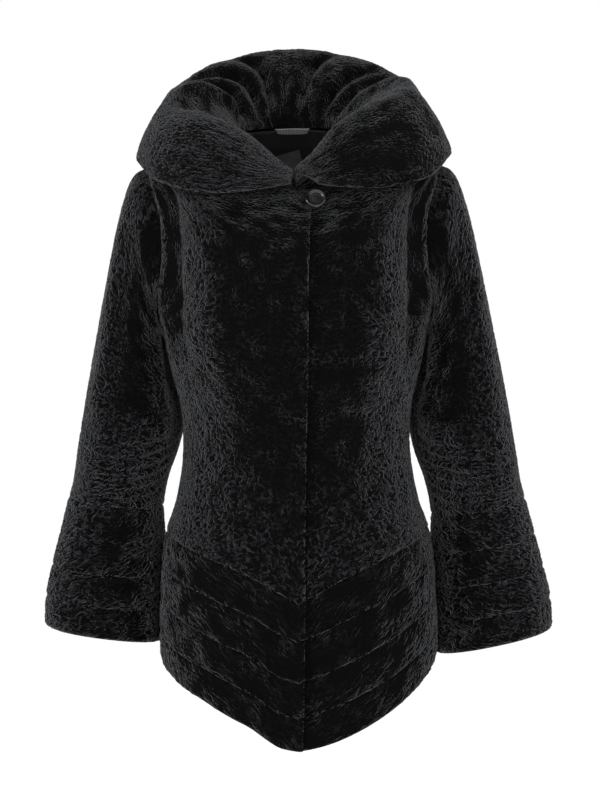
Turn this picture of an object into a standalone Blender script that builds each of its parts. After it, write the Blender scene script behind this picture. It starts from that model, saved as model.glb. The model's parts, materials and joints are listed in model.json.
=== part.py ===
"""A hip-length shearling jacket, filled out as if worn: two overlapping fronts, a back, bell sleeves, four pieced
bands round each sleeve and round the pointed hem, and a wide gathered collar that rolls out over the shoulders.

Metres, +Z up. +X is the wearer's left and -Y is the front. The origin is the middle of the neck, level with the
shoulders that carry the jacket.

Every panel is a wall with an outer and an inner layer of points. The body panels are cut from one torso form, the
sleeves and bands from one sleeve form, so that neighbours meet edge to edge at their seams.
"""

import math

import bmesh
import bpy
import numpy as np
from mathutils import Matrix, Vector

MM = 0.001

# Hide and clipped pile together, and the collar, which has pile on both sides.
WALL = 7.0 * MM
COLLAR_WALL = 10.0 * MM
LINING_WALL = 1.2 * MM
SEAM_GAP = 0.3 * MM
BAND_STEP = 0.22 * MM
NECK_SEAM_GAP = 1.3 * MM
UNDERLAP_CLEARANCE = 1.2 * MM

# The top corner of the right front is cut lower past the middle, where the left half of the collar rolls over it.
CORNER_DROP = 0.55

# The button is turned: radius and height of its section, from the dished face over the rim to the thread shank,
# which passes the right front's edge and is sewn to the left front.
BUTTON_AT = (28.0 * MM, -95.0 * MM)
BUTTON_SECTION = (
    (0.0, 3.4), (5.0, 3.6), (8.6, 4.1), (10.2, 5.2), (12.0, 6.0), (13.4, 5.2),
    (14.0, 3.4), (13.0, 1.4), (8.4, 0.6), (1.6, 0.4), (1.6, -7.2), (0.0, -7.2),
)

# The front edge of the wearer's right front lies past the middle, over the left front.
UNDERLAP = 34.0 * MM
UNDERLAP_SLOPE = 42.0 * MM

# How far round the body an armhole reaches from the side seam, as a share of a quarter turn.
ARMHOLE_REACH = 0.25
SQUARENESS = 2.25
GROOVE_DEPTH = 2.2 * MM

# Columns of points: from the front edge to the side seam, across the back, and round a sleeve.
FRONT_COLUMNS = 13
BACK_COLUMNS = 18
SLEEVE_COLUMNS = 24
LEFT_SLEEVE_DROP = 11.0 * MM
LEFT_SLEEVE_TILT = 0.06

# The right front's hem is cut this much higher between the middle and the side seam.
RIGHT_HEM_LIFT = 13 * MM

# The torso, top to bottom. front, side and back are heights; half_width, front_depth and back_depth are half
# sizes of that ring; pointed is 1 where the ring comes to a point in front; edge is the front edge's place.
TORSO_COLUMNS = ("front", "side", "back", "half_width", "front_depth", "back_depth", "pointed", "edge", "square")
TORSO = {
    "neck": (-72, 2, 12, 82, 90, 66, 0.0, 30, 2.25),
    "collarbone": (-93, -20, -8, 132, 106, 80, 0.0, 25, 2.25),
    "shoulder tip": (-118, -42, -42, 184, 119, 94, 0.0, 21, 2.25),
    "upper chest": (-150, -96, -92, 182, 128, 103, 0.0, 20, 2.25),
    "bust": (-205, -165, -160, 179, 134, 105, 0.0, 18, 2.3),
    "armpit": (-268, -240, -240, 176, 131, 100, 0.0, 17, 2.3),
    "ribs": (-325, -302, -302, 165, 121, 91, 0.0, 16, 2.3),
    "waist top": (-385, -360, -360, 151, 112, 84, 0.05, 14, 2.3),
    "waist": (-446, -420, -425, 149, 110, 84, 0.2, 12, 2.3),
    "upper hip": (-526, -478, -486, 158, 115, 98, 0.6, 10, 2.45),
    "hip seam": (-611, -520, -530, 172, 123, 112, 1.0, 9, 2.55),
    "band two": (-661, -561, -572, 178, 126, 117, 0.75, 8, 2.65),
    "band three": (-713, -604, -614, 180, 128, 120, 0.5, 7, 2.65),
    "band four": (-757, -646, -656, 182, 129, 122, 0.35, 6, 2.65),
    "hem": (-800, -684, -698, 181, 130, 124, 0.2, 4, 2.6),
}
RINGS = {name: float(i) for i, name in enumerate(TORSO)}

# Soft creases of the torso, down from top to bottom: quarter turns from the middle of the front, ring numbers,
# half width in quarter turns, and height (below 0 is a trough). Each is made on both sides.
CREASE_COLUMNS = ("turn_top", "turn_bottom", "ring_top", "ring_bottom", "width", "height")
TORSO_CREASES = {
    "armhole trough": (0.62, 0.65, 1.5, 6.4, 0.090, -8.5),
    "armhole ridge": (0.84, 0.85, 1.9, 5.2, 0.110, 9.0),
    "chest ridge": (0.42, 0.40, 1.5, 6.8, 0.100, 4.0),
    "hip ridge": (0.70, 0.62, 7.4, 10.0, 0.120, 2.0),
    "back blade trough": (1.55, 1.30, 2.4, 7.2, 0.110, -6.0),
    "back waist ridge": (1.72, 1.66, 5.4, 9.6, 0.100, 3.0),
}

# The sleeve's sections from the armhole down: outer and inner ends of the section, and its half depth. The inner
# end hangs a little behind the body's side. The armhole itself is the torso's own edge.
SLEEVE_COLUMN_NAMES = ("outer_x", "outer_y", "outer_z", "inner_x", "inner_y", "inner_z", "half_depth")
SLEEVE = {
    "sleeve head": (211, 0, -56, 181, 8, -254, 58),
    "upper arm": (230, 2, -110, 171, 30, -272, 66),
    "biceps": (247, 5, -190, 163, 40, -297, 71),
    "above elbow": (262, 6, -268, 158, 41, -322, 72),
    "elbow": (276, 6, -343, 147, 43, -362, 71),
    "below elbow": (287, 4, -408, 156, 44, -408, 70),
    "forearm": (293, 0, -450, 171, 42, -450, 69),
    "cuff seam": (299, -4, -474, 178, 42, -490, 69),
    "cuff two": (311, -6, -520, 176, 42, -536, 71),
    "cuff three": (322, -8, -563, 177, 42, -580, 73),
    "cuff four": (330, -10, -602, 178, 42, -624, 75),
    "cuff hem": (332, -12, -640, 179, 42, -666, 76),
}
SLEEVE_DIP = 5.0 * MM
LAST_SLEEVE_RING = float(list(SLEEVE).index("cuff seam") + 1)

# Creases round the sleeve: place round it in degrees (0 outer side, 90 front), section numbers, and sizes.
SLEEVE_CREASES = {
    "outer fold": (34, 46, 0.8, 5.4, 13, 4.5),
    "front trough": (68, 72, 0.6, 6.0, 16, -4.0),
    "inner fold": (122, 130, 0.5, 6.2, 9, 5.0),
    "inner trough": (143, 150, 0.6, 6.2, 10, -6.0),
    "back trough": (250, 262, 0.8, 6.2, 18, -4.0),
}

# The collar, by degrees round the neck from the middle of the back: the rim where it rolls over, and its free
# edge. stand, roll and drop say how far the profile runs straight at the neck, at the rim and at the edge.
COLLAR_COLUMNS = ("rim_x", "rim_y", "rim_z", "edge_x", "edge_y", "edge_z", "stand", "roll", "drop")
COLLAR = {
    -178: (-1, -106, -62, -3, -118, -75, 9, 6, 6),
    -165: (-34, -104, -38, -58, -120, -83, 16, 14, 20),
    -150: (-70, -100, -9, -116, -110, -84, 18, 18, 34),
    -135: (-114, -84, 13, -168, -84, -70, 18, 20, 34),
    -115: (-154, -46, 26, -197, -40, -42, 18, 18, 24),
    -93: (-150, 4, 60, -197, 4, -30, 24, 12, 18),
    -72: (-137, 50, 75, -186, 56, -44, 30, 16, 34),
    -50: (-104, 84, 98, -142, 97, -58, 40, 20, 56),
    -25: (-52, 102, 113, -74, 118, -62, 50, 20, 70),
    0: (0, 105, 118, 0, 124, -62, 52, 20, 70),
    25: (52, 102, 114, 74, 118, -62, 50, 20, 70),
    50: (106, 84, 97, 142, 97, -58, 40, 20, 56),
    72: (141, 50, 75, 186, 56, -44, 30, 16, 34),
    93: (151, 4, 62, 199, 4, -30, 24, 12, 18),
    115: (144, -44, 46, 199, -42, -38, 20, 18, 26),
    135: (108, -80, 27, 168, -88, -68, 18, 20, 38),
    150: (68, -98, 4, 116, -114, -80, 18, 20, 38),
    165: (34, -103, -32, 66, -122, -80, 16, 14, 22),
    178: (2, -106, -60, 31, -124, -76, 9, 6, 8),
}

# Gathers of the collar: degrees at the neck and at the rim, how late each one turns between them, half width in
# degrees, height, and how far over the rim it fades out (0.5 is the rim, 1 the free edge). Negative degrees are
# the wearer's right.
GATHER_COLUMNS = ("neck", "rim", "bend", "width", "height", "reach")
GATHERS = {
    "right hollow": (-66, -103, 0.9, 8.0, 17.0, 0.60),
    "right outer": (-52, -87, 2.4, 6.5, -18.0, 0.62),
    "right middle": (-34, -74, 2.7, 5.0, -15.0, 0.58),
    "right inner": (-21, -39, 2.6, 4.5, -16.0, 0.58),
    "middle": (-7, -8, 1.0, 4.0, -6.0, 0.46),
    "left inner": (1, 29, 1.0, 5.0, -16.0, 0.58),
    "left middle": (27, 60, 1.1, 4.5, -12.0, 0.58),
    "left outer": (45, 70, 1.3, 6.0, -15.0, 0.60),
    "left hollow": (62, 90, 1.3, 8.0, 8.0, 0.64),
}
COLLAR_ROWS = 13

# What shows inside the back of the neck, as x and z in front of the back: the lining's top edge, the hanger loop
# of woven tape, and a plain patch sewn on at a slant.
LINING_ROWS = slice(0, 9)
LINING_COLUMNS = slice(3, 16)
LINING_STARTS = 0.25
LOOP_MIDDLE = (-1.0 * MM, 9.5 * MM)
LOOP_RISE = 5.5 * MM
LOOP_LEAN = 0.75
LOOP_SIZE = (46.0 * MM, 7.0 * MM)
LOOP_TAPER = 3.0 * MM
LOOP_WALL = 1.2 * MM
LOOP_STANDS_OFF = 2.0 * MM
CLEAR_OF_LINING = 0.9 * MM
PATCH_MIDDLE = (-8.0 * MM, -37.0 * MM)
PATCH_SIZE = (42.0 * MM, 34.0 * MM)
PATCH_TILT = 15.0
PATCH_WALL = 0.9 * MM

SHEARLING_BLACK = (0.012, 0.012, 0.013)
LINING_BLACK = (0.035, 0.035, 0.037)
BUTTON_BLACK = (0.02, 0.02, 0.022)
TAPE_GREY = (0.12, 0.12, 0.12)


# ---- small curve tools -------------------------------------------------------------------------------------


def smooth(keys, at):
    """The smooth curve through evenly numbered keys, read at the numbers in at."""
    keys = np.asarray(keys, float)
    at = np.clip(np.asarray(at, float), 0, len(keys) - 1)
    low = np.minimum(at.astype(int), len(keys) - 2)
    share = (at - low).reshape(at.shape + (1,) * (keys.ndim - 1))
    slope = np.gradient(keys, axis=0)
    a, b = keys[low], keys[low + 1]
    da, db = slope[low], slope[low + 1]
    s2, s3 = share**2, share**3
    return (2 * s3 - 3 * s2 + 1) * a + (s3 - 2 * s2 + share) * da + (3 * s2 - 2 * s3) * b + (s3 - s2) * db


def ease(low, high, value):
    """0 below low, 1 above high, and a smooth step between them."""
    share = np.clip((value - low) / (high - low), 0, 1)
    return share * share * (3 - 2 * share)


def unit(vectors):
    return vectors / np.maximum(np.linalg.norm(vectors, axis=-1, keepdims=True), 1e-12)


def normals_of(form, first, second, step=1e-3):
    """The outward direction of a form that takes two arrays of places, by small steps each way."""
    along_first = form(first + step, second) - form(first - step, second)
    along_second = form(first, second + step) - form(first, second - step)
    return unit(np.cross(along_first, along_second))


def crease_height(creases, place, ring):
    """The sum of the soft creases at these places."""
    height = np.zeros(np.broadcast(place, ring).shape)
    for place_top, place_bottom, ring_top, ring_bottom, width, crest in creases:
        down = np.clip((ring - ring_top) / (ring_bottom - ring_top), 0, 1)
        line = place_top + (place_bottom - place_top) * down
        strength = np.sin(math.pi * down) ** 0.6
        height += crest * MM * strength * np.exp(-(((place - line) / width) ** 2))
    return height


# ---- the torso form ----------------------------------------------------------------------------------------

TORSO_KEYS = np.array(list(TORSO.values()), float)


def torso_column(name, ring):
    return smooth(TORSO_KEYS[:, TORSO_COLUMNS.index(name)], ring)


def plain_torso(turn, ring):
    """A point of the torso: turn counts quarter turns from the middle of the front towards the wearer's left,
    so 1 is the left side seam and 2 the middle of the back. ring counts the sections downwards."""
    turn, ring = np.broadcast_arrays(np.asarray(turn, float), np.asarray(ring, float))
    angle = turn * math.pi / 2
    sine, cosine = np.sin(angle), np.cos(angle)
    in_front = cosine > 0
    square = np.where(in_front, torso_column("square", ring), SQUARENESS)
    round_out = (np.abs(sine) ** square + np.abs(cosine) ** square) ** (-1 / square)
    depth = np.where(in_front, torso_column("front_depth", ring), torso_column("back_depth", ring))
    from_middle = np.abs((turn + 2) % 4 - 2)
    to_side = np.where(in_front, from_middle, 2 - from_middle)
    pointed = torso_column("pointed", ring)
    wave = (1 - np.cos(math.pi * to_side)) / 2
    front_rise = pointed * np.sin(math.pi / 2 * to_side) + (1 - pointed) * wave
    middle = np.where(in_front, torso_column("front", ring), torso_column("back", ring))
    rise = np.where(in_front, front_rise, wave)
    height = middle + (torso_column("side", ring) - middle) * rise
    x = torso_column("half_width", ring) * sine * round_out
    return np.stack([x, -depth * cosine * round_out, height], axis=-1) * MM


def torso_normal(turn, ring):
    return -normals_of(plain_torso, np.asarray(turn, float), np.asarray(ring, float))


def torso(turn, ring, lift=0.0):
    """A point of the torso with its creases, moved out by lift."""
    turn, ring = np.broadcast_arrays(np.asarray(turn, float), np.asarray(ring, float))
    from_middle = np.abs((turn + 2) % 4 - 2)
    height = crease_height(TORSO_CREASES.values(), from_middle, ring)
    return plain_torso(turn, ring) + torso_normal(turn, ring) * (height + lift)[..., None]


def turn_at(x, ring):
    """The turn where the front of the torso has this x."""
    return np.arcsin(np.clip(x / (torso_column("half_width", ring) * MM), -1, 1)) / (math.pi / 2)


def front_edge_turn(ring):
    return turn_at(torso_column("edge", ring) * MM, ring)


def over_edge_turn(ring):
    """The edge of the front on top, where it is made on the wearer's left and then mirrored."""
    return -front_edge_turn(ring)


def under_edge_turn(ring):
    return turn_at(torso_column("edge", ring) * MM - UNDERLAP, ring)


def no_dip(turn, ring):
    return np.zeros(np.broadcast(turn, ring).shape)


def underlap_dip(turn, ring):
    """How far the left front sinks to pass under the right one."""
    past = (turn - front_edge_turn(ring)) * math.pi / 2 * torso_column("half_width", ring) * MM
    return -(WALL + UNDERLAP_CLEARANCE) * (1 - ease(2 * MM, UNDERLAP_SLOPE, past))


# ---- the armhole and the sleeve form -----------------------------------------------------------------------

ARMHOLE_TOP = RINGS["shoulder tip"]
ARMHOLE_BOTTOM = RINGS["armpit"]


def armhole_place(angle):
    """Turn and ring of the left armhole: angle 0 is its top, a quarter turn its front, a half turn the armpit."""
    middle, half = (ARMHOLE_TOP + ARMHOLE_BOTTOM) / 2, (ARMHOLE_BOTTOM - ARMHOLE_TOP) / 2
    return 1 - ARMHOLE_REACH * np.sin(angle), middle - half * np.cos(angle)


def sleeve_rings(angle):
    """The key rings of the left sleeve at these angles, with the armhole first."""
    sine, cosine = np.sin(angle), np.cos(angle)
    round_out = ((np.abs(sine) ** SQUARENESS + np.abs(cosine) ** SQUARENESS) ** (-1 / SQUARENESS))[..., None]
    rings = [torso(*armhole_place(angle))]
    for *ends, half_depth in SLEEVE.values():
        outer, inner = np.array(ends[:3]) * MM, np.array(ends[3:]) * MM
        to_front = np.array([0, -half_depth * MM, -SLEEVE_DIP])
        across = cosine[..., None] * (outer - inner) / 2 + sine[..., None] * to_front
        rings.append((outer + inner) / 2 + across * round_out)
    return np.array(rings)


def plain_sleeve(angle, section):
    """A point of the left sleeve's outside. angle runs as on the armhole; section counts the rings from it."""
    angle, section = np.broadcast_arrays(np.asarray(angle, float), np.asarray(section, float))
    rings = sleeve_rings(angle)
    low = np.clip(section, 0, len(rings) - 1)
    first = np.minimum(low.astype(int), len(rings) - 2)
    share = (low - first)[..., None]
    slope = np.gradient(rings, axis=0)
    pick = tuple(np.indices(first.shape))
    a, b = rings[(first, *pick)], rings[(first + 1, *pick)]
    da, db = slope[(first, *pick)], slope[(first + 1, *pick)]
    s2, s3 = share**2, share**3
    return (2 * s3 - 3 * s2 + 1) * a + (s3 - 2 * s2 + share) * da + (3 * s2 - 2 * s3) * b + (s3 - s2) * db


def sleeve_normal(angle, section):
    section = np.maximum(np.asarray(section, float), 2e-3)
    return normals_of(plain_sleeve, np.asarray(angle, float), section)


def sleeve(angle, section, lift=0.0):
    angle, section = np.broadcast_arrays(np.asarray(angle, float), np.asarray(section, float))
    round_it = np.degrees(angle) % 360
    height = crease_height(SLEEVE_CREASES.values(), round_it, section)
    return plain_sleeve(angle, section) + sleeve_normal(angle, section) * (height + lift)[..., None]


def left_arm(points):
    """The left sleeve hangs a little lower than the right one, the more so at the cuff and on its inner side."""
    drop = LEFT_SLEEVE_DROP + LEFT_SLEEVE_TILT * (0.33 - points[..., 0])
    drop = drop * ease(-0.27, -0.60, points[..., 2])
    return points - np.stack([0 * drop, 0 * drop, drop], axis=-1)


def right_arm(points):
    return points * np.array([-1, 1, 1])


def right_side(outer, inner):
    """The wearer's right front and bands: the mirror of the left ones, with the hem a little higher."""
    outer, inner = right_arm(outer), right_arm(inner)
    between = ease(-0.02, -0.07, outer[..., 0]) * ease(-0.185, -0.115, outer[..., 0])
    lift = RIGHT_HEM_LIFT * between * ease(-0.50, -0.76, outer[..., 2])
    rise = np.stack([0 * lift, 0 * lift, lift], axis=-1)
    return outer + rise, inner + rise


# ---- the collar form ---------------------------------------------------------------------------------------

COLLAR_TURNS = np.array(list(COLLAR), float)
COLLAR_KEYS = np.array(list(COLLAR.values()), float)


def collar_column(name, turn):
    """A column of the collar's table, smoothly between its rows."""
    keys = COLLAR_KEYS[:, COLLAR_COLUMNS.index(name)]
    slope = np.gradient(keys, COLLAR_TURNS)
    low = np.clip(np.searchsorted(COLLAR_TURNS, turn, side="right") - 1, 0, len(keys) - 2)
    span = COLLAR_TURNS[low + 1] - COLLAR_TURNS[low]
    share = np.clip((turn - COLLAR_TURNS[low]) / span, 0, 1)
    s2, s3 = share**2, share**3
    return (
        (2 * s3 - 3 * s2 + 1) * keys[low]
        + (s3 - 2 * s2 + share) * span * slope[low]
        + (3 * s2 - 2 * s3) * keys[low + 1]
        + (s3 - s2) * span * slope[low + 1]
    )


def into_neck(turn):
    """The level direction from the neck edge into the neck."""
    step = 1e-3
    along = plain_torso(turn + step, 0.0) - plain_torso(turn - step, 0.0)
    return unit(np.stack([-along[..., 1], along[..., 0], 0 * along[..., 0]], axis=-1))


def collar_base(turn):
    """The middle of the collar's wall at its lower edge, which stands on the neck edge of the fronts and back."""
    torso_turn = 2 - turn / 90
    sink = np.where(turn > 0, underlap_dip((torso_turn + 2) % 4 - 2, np.zeros_like(turn)), 0.0)
    seam = torso(torso_turn, np.zeros_like(turn), sink)
    return seam + into_neck(torso_turn) * (WALL / 2 + 0.5 * MM) + np.array([0, 0, NECK_SEAM_GAP])


def plain_collar(turn, along):
    """The middle of the collar's wall: turn in degrees from the middle of the back, along from 0 at the neck
    over 0.5 at the rim to 1 at the free edge."""
    turn, along = np.broadcast_arrays(np.asarray(turn, float), np.asarray(along, float))
    base = collar_base(turn)
    rim = np.stack([collar_column("rim_" + axis, turn) for axis in "xyz"], axis=-1) * MM
    edge = np.stack([collar_column("edge_" + axis, turn) for axis in "xyz"], axis=-1) * MM
    outward = unit((edge - base) * np.array([1, 1, 0]))
    up = np.array([0, 0, 1])
    stand, roll, drop = ((collar_column(name, turn) * MM)[..., None] for name in ("stand", "roll", "drop"))
    inside = (base, base + up * stand, rim - outward * roll, rim)
    outside = (rim, rim + outward * roll, edge + up * drop, edge)
    share = np.where(along < 0.5, along * 2, along * 2 - 1)[..., None]
    weights = ((1 - share) ** 3, 3 * share * (1 - share) ** 2, 3 * share**2 * (1 - share), share**3)
    first = sum(w * p for w, p in zip(weights, inside))
    second = sum(w * p for w, p in zip(weights, outside))
    return np.where((along < 0.5)[..., None], first, second)


def gather_height(turn, along):
    height = np.zeros(np.broadcast(turn, along).shape)
    to_rim = np.clip(along / 0.5, 1e-6, 1)
    for neck, rim, bend, width, crest, reach in GATHERS.values():
        line = neck + (rim - neck) * to_rim**bend
        strength = ease(0.02, 0.18, along) * (1 - ease(reach - 0.28, reach, along))
        spread = width * (0.75 + 0.45 * to_rim)
        height += crest * MM * strength * np.exp(-(np.abs((turn - line) / spread) ** 1.6))
    return height


def collar(turn, along, lift=0.0):
    """A point of the collar, on the middle of its wall moved out by lift. Out is the side that shows once the
    collar has rolled over; before the rim the same side faces the shoulders."""
    turn, along = np.broadcast_arrays(np.asarray(turn, float), np.asarray(along, float))
    safe = np.clip(along, 2e-3, 1 - 2e-3)
    out = normals_of(lambda a, b: plain_collar(a * 90, b), turn / 90, safe)
    return plain_collar(turn, along) + out * (lift + gather_height(turn, along))[..., None]


# ---- making the pieces -------------------------------------------------------------------------------------


def clear_scene():
    for obj in list(bpy.data.objects):
        bpy.data.objects.remove(obj, do_unlink=True)


def material(name, colour, roughness):
    made = bpy.data.materials.new(name)
    made.use_nodes = True
    shader = made.node_tree.nodes["Principled BSDF"]
    shader.inputs["Base Color"].default_value = (*colour, 1.0)
    shader.inputs["Roughness"].default_value = roughness
    shader.inputs["Metallic"].default_value = 0.0
    return made


def collection(name):
    made = bpy.data.collections.new(name)
    bpy.context.scene.collection.children.link(made)
    return made


def stepped_back(points, rows=(), columns=(), step=SEAM_GAP / 2):
    """The points with these edge rows and columns drawn in by half a seam's gap."""
    points = points.copy()
    for row in rows:
        towards = points[1] if row == 0 else points[-2]
        points[row] += unit(towards - points[row]) * step
    for column in columns:
        towards = points[:, 1] if column == 0 else points[:, -2]
        points[:, column] += unit(towards - points[:, column]) * step
    return points


def wall(name, outer, inner, finish, into, closed=False):
    """One closed wall. A grid is laid on the outer points and extruded to the inner ones. A tube is closed
    round its columns."""
    rows, columns = outer.shape[:2]
    if closed:
        outer = np.concatenate([outer, outer[:, :1]], axis=1)
        inner = np.concatenate([inner, inner[:, :1]], axis=1)
        columns += 1
    bm = bmesh.new()
    bmesh.ops.create_grid(bm, x_segments=columns - 1, y_segments=rows - 1, size=1)
    bm.verts.ensure_lookup_table()
    for vertex, place in zip(bm.verts, outer.reshape(-1, 3)):
        vertex.co = place
    number = bm.verts.layers.int.new("number")
    column = bm.verts.layers.int.new("column")
    for vertex in bm.verts:
        vertex[number] = vertex.index
        vertex[column] = vertex.index % columns
    extruded = bmesh.ops.extrude_face_region(bm, geom=bm.faces[:], use_keep_orig=True)
    places = inner.reshape(-1, 3)
    for vertex in extruded["geom"]:
        if isinstance(vertex, bmesh.types.BMVert):
            vertex.co = places[vertex[number]]
    if closed:
        bmesh.ops.delete(bm, geom=[face for face in bm.faces if is_end(face, column, columns)], context="FACES_ONLY")
        bmesh.ops.remove_doubles(bm, verts=bm.verts[:], dist=1e-6)
    bmesh.ops.recalc_face_normals(bm, faces=bm.faces[:])
    mesh = bpy.data.meshes.new(name)
    bm.to_mesh(mesh)
    bm.free()
    mesh.materials.append(finish)
    mesh.shade_smooth()
    mesh.set_sharp_from_angle(angle=math.radians(60))
    obj = bpy.data.objects.new(name, mesh)
    into.objects.link(obj)
    return obj


def is_end(face, column, columns):
    """A face that closes the wall at its first or last column, where a tube meets itself."""
    numbers = {vertex[column] for vertex in face.verts}
    return numbers == {0} or numbers == {columns - 1}


# ---- panels ------------------------------------------------------------------------------------------------


def armhole_angles():
    return np.arange(SLEEVE_COLUMNS // 2 + 1) * 2 * math.pi / SLEEVE_COLUMNS


def body_rings():
    """Ring numbers of the body's rows. Along the armhole they fall on the sleeve's own columns."""
    above = np.linspace(0, ARMHOLE_TOP, 5)
    beside = armhole_place(armhole_angles())[1][1:-1]
    below = np.arange(ARMHOLE_BOTTOM, RINGS["hip seam"] + 0.25, 0.5)
    return np.concatenate([above, beside, below])


def spread_rows(rings, to_side):
    """Ring numbers as rows by columns: as given at the side, and evenly spaced beside the armhole elsewhere."""
    even = rings.copy()
    first, last = 4, 4 + SLEEVE_COLUMNS // 2
    even[first : last + 1] = np.linspace(rings[first], rings[last], last - first + 1)
    return even[:, None] + (rings - even)[:, None] * to_side**1.5


def side_turn(ring):
    """The turn of a front's side edge: the armhole beside it, the shoulder and side seams above and below."""
    middle, half = (ARMHOLE_TOP + ARMHOLE_BOTTOM) / 2, (ARMHOLE_BOTTOM - ARMHOLE_TOP) / 2
    inside = np.clip(1 - ((ring - middle) / half) ** 2, 0, 1)
    return 1 - ARMHOLE_REACH * np.sqrt(inside)


def at_side_seam(ring):
    return np.ones_like(ring)


def panel_points(turn, ring, offset=0.0, groove=0.0):
    """Outer and inner points of a body panel. The wall is cut level along the neck."""
    outer = torso(turn, ring, offset - groove)
    inner = torso(turn, ring, offset - WALL)
    if np.min(ring) == 0:
        inner[0] = outer[0] + into_neck(turn[0]) * WALL
    return outer, inner


def mitred(inner, outer, own, other):
    """Inner points of an armhole edge, so that the two walls meet on one line. Where the walls turn back to back,
    as in the armpit, each keeps its own direction."""
    shared = unit(own + other)
    agree = (own * other).sum(axis=-1, keepdims=True)
    weight = ease(-0.2, 0.4, agree)
    along = unit(own * (1 - weight) + shared * weight)
    length = 1 / np.clip((along * own).sum(axis=-1, keepdims=True), 0.8, 1)
    return outer - along * WALL * length


def front_panel(first_turn, last_turn, rings, dip, grooves):
    """Outer and inner points of a front from one turn to another (functions of the ring), down these rings."""
    share = np.linspace(0, 1, FRONT_COLUMNS + 1)[None, :]
    side = last_turn(rings[:, None])
    ring = spread_rows(rings, share) if len(rings) > SLEEVE_COLUMNS // 2 else rings[:, None]
    turn = first_turn(ring) + (side - first_turn(ring)) * share
    past_middle = ease(-2 * MM, 10 * MM, -turn * math.pi / 2 * TORSO_KEYS[0, 3] * MM)
    ring = ring + CORNER_DROP * past_middle * np.clip(1 - ring / 2, 0, 1)
    turn = first_turn(ring) + (side - first_turn(ring)) * share
    offset = dip(turn, ring)
    groove = groove_at(rings, grooves)[:, None]
    outer, inner = panel_points(turn, ring, offset, groove)
    return outer, inner


def groove_at(rings, grooves):
    """The seam lines of the bands: the pile is nipped in at the first and last rows."""
    depth = np.zeros(len(rings))
    if grooves[0]:
        depth[0] = GROOVE_DEPTH
    if grooves[1]:
        depth[-1] = GROOVE_DEPTH
    return depth


def main():
    clear_scene()
    into = collection("shearling_jacket")
    shearling = material("black shearling", SHEARLING_BLACK, 0.9)
    satin = material("black lining satin", LINING_BLACK, 0.45)
    horn = material("black horn", BUTTON_BLACK, 0.3)
    tape = material("grey woven tape", TAPE_GREY, 0.6)
    make_body(into, shearling)
    make_bands(into, shearling)
    make_sleeves(into, shearling)
    make_collar(into, shearling)
    make_neck_lining(into, satin, tape)
    make_button(into, horn)


def armhole_edges(side):
    """Normals of body and sleeve along the armhole's front half (side 1) or back half (side -1)."""
    angles = armhole_angles()[1:-1] * side
    turn, ring = armhole_place(angles)
    return torso_normal(turn, ring), sleeve_normal(angles, np.zeros_like(angles))


def back_points():
    """The outer and inner points of the back, between the two side seams and armholes."""
    rings = body_rings()
    beside = slice(5, 5 + len(armhole_angles()) - 2)
    share = np.linspace(0, 1, BACK_COLUMNS + 1)[None, :]
    ring = spread_rows(rings, np.abs(2 * share - 1))
    edge = 2 - side_turn(rings[:, None])
    turn = edge + (4 - 2 * edge) * share
    outer, inner = panel_points(turn, ring, 0.0, groove_at(rings, (False, True))[:, None])
    body_normal, arm_normal = armhole_edges(-1)
    inner[beside, 0] = mitred(inner[beside, 0], outer[beside, 0], body_normal, arm_normal)
    inner[beside, -1] = inner[beside, 0] * np.array([-1, 1, 1])
    outer = stepped_back(outer, rows=(-1,), columns=(0, -1))
    return outer, stepped_back(inner, rows=(-1,), columns=(0, -1))


def make_body(into, finish):
    rings = body_rings()
    beside = slice(5, 5 + len(armhole_angles()) - 2)
    body_normal, arm_normal = armhole_edges(1)
    # Both fronts are made on the wearer's left. The right front is mirrored, so its edge passes the middle.
    fronts = (
        ("front_right", over_edge_turn, no_dip, True),
        ("front_left", under_edge_turn, underlap_dip, False),
    )
    for name, first_turn, dip, mirror in fronts:
        outer, inner = front_panel(first_turn, side_turn, rings, dip, (False, True))
        inner[beside, -1] = mitred(inner[beside, -1], outer[beside, -1], body_normal, arm_normal)
        outer = stepped_back(outer, rows=(-1,), columns=(-1,))
        inner = stepped_back(inner, rows=(-1,), columns=(-1,))
        if mirror:
            outer, inner = right_side(outer, inner)
        wall(name, outer, inner, finish, into)
    outer, inner = back_points()
    wall("back", outer, inner, finish, into)


def make_bands(into, finish):
    """Four bands run round the hips and follow the point of the hem. Each is cut in three."""
    seams = ("hip seam", "band two", "band three", "band four", "hem")
    for count, (upper, lower) in enumerate(zip(seams, seams[1:]), 1):
        rings = np.linspace(RINGS[upper], RINGS[lower], 3)
        grooves = (True, lower != "hem")
        ends = (0, -1) if lower != "hem" else (0,)
        pieces = (
            ("right", over_edge_turn, no_dip, True),
            ("left", under_edge_turn, underlap_dip, False),
        )
        for side, first_turn, dip, mirror in pieces:
            outer, inner = front_panel(first_turn, at_side_seam, rings, dip, grooves)
            outer = stepped_back(outer, rows=ends, columns=(-1,), step=BAND_STEP)
            inner = stepped_back(inner, rows=ends, columns=(-1,), step=BAND_STEP)
            if mirror:
                outer, inner = right_side(outer, inner)
            wall(f"hip_band_{count}_{side}", outer, inner, finish, into)
        turn = np.linspace(1, 3, BACK_COLUMNS + 1)[None, :]
        outer, inner = panel_points(turn, rings[:, None], 0.0, groove_at(rings, grooves)[:, None])
        outer = stepped_back(outer, rows=ends, columns=(0, -1))
        inner = stepped_back(inner, rows=ends, columns=(0, -1))
        wall(f"hip_band_{count}_back", outer, inner, finish, into)


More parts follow.
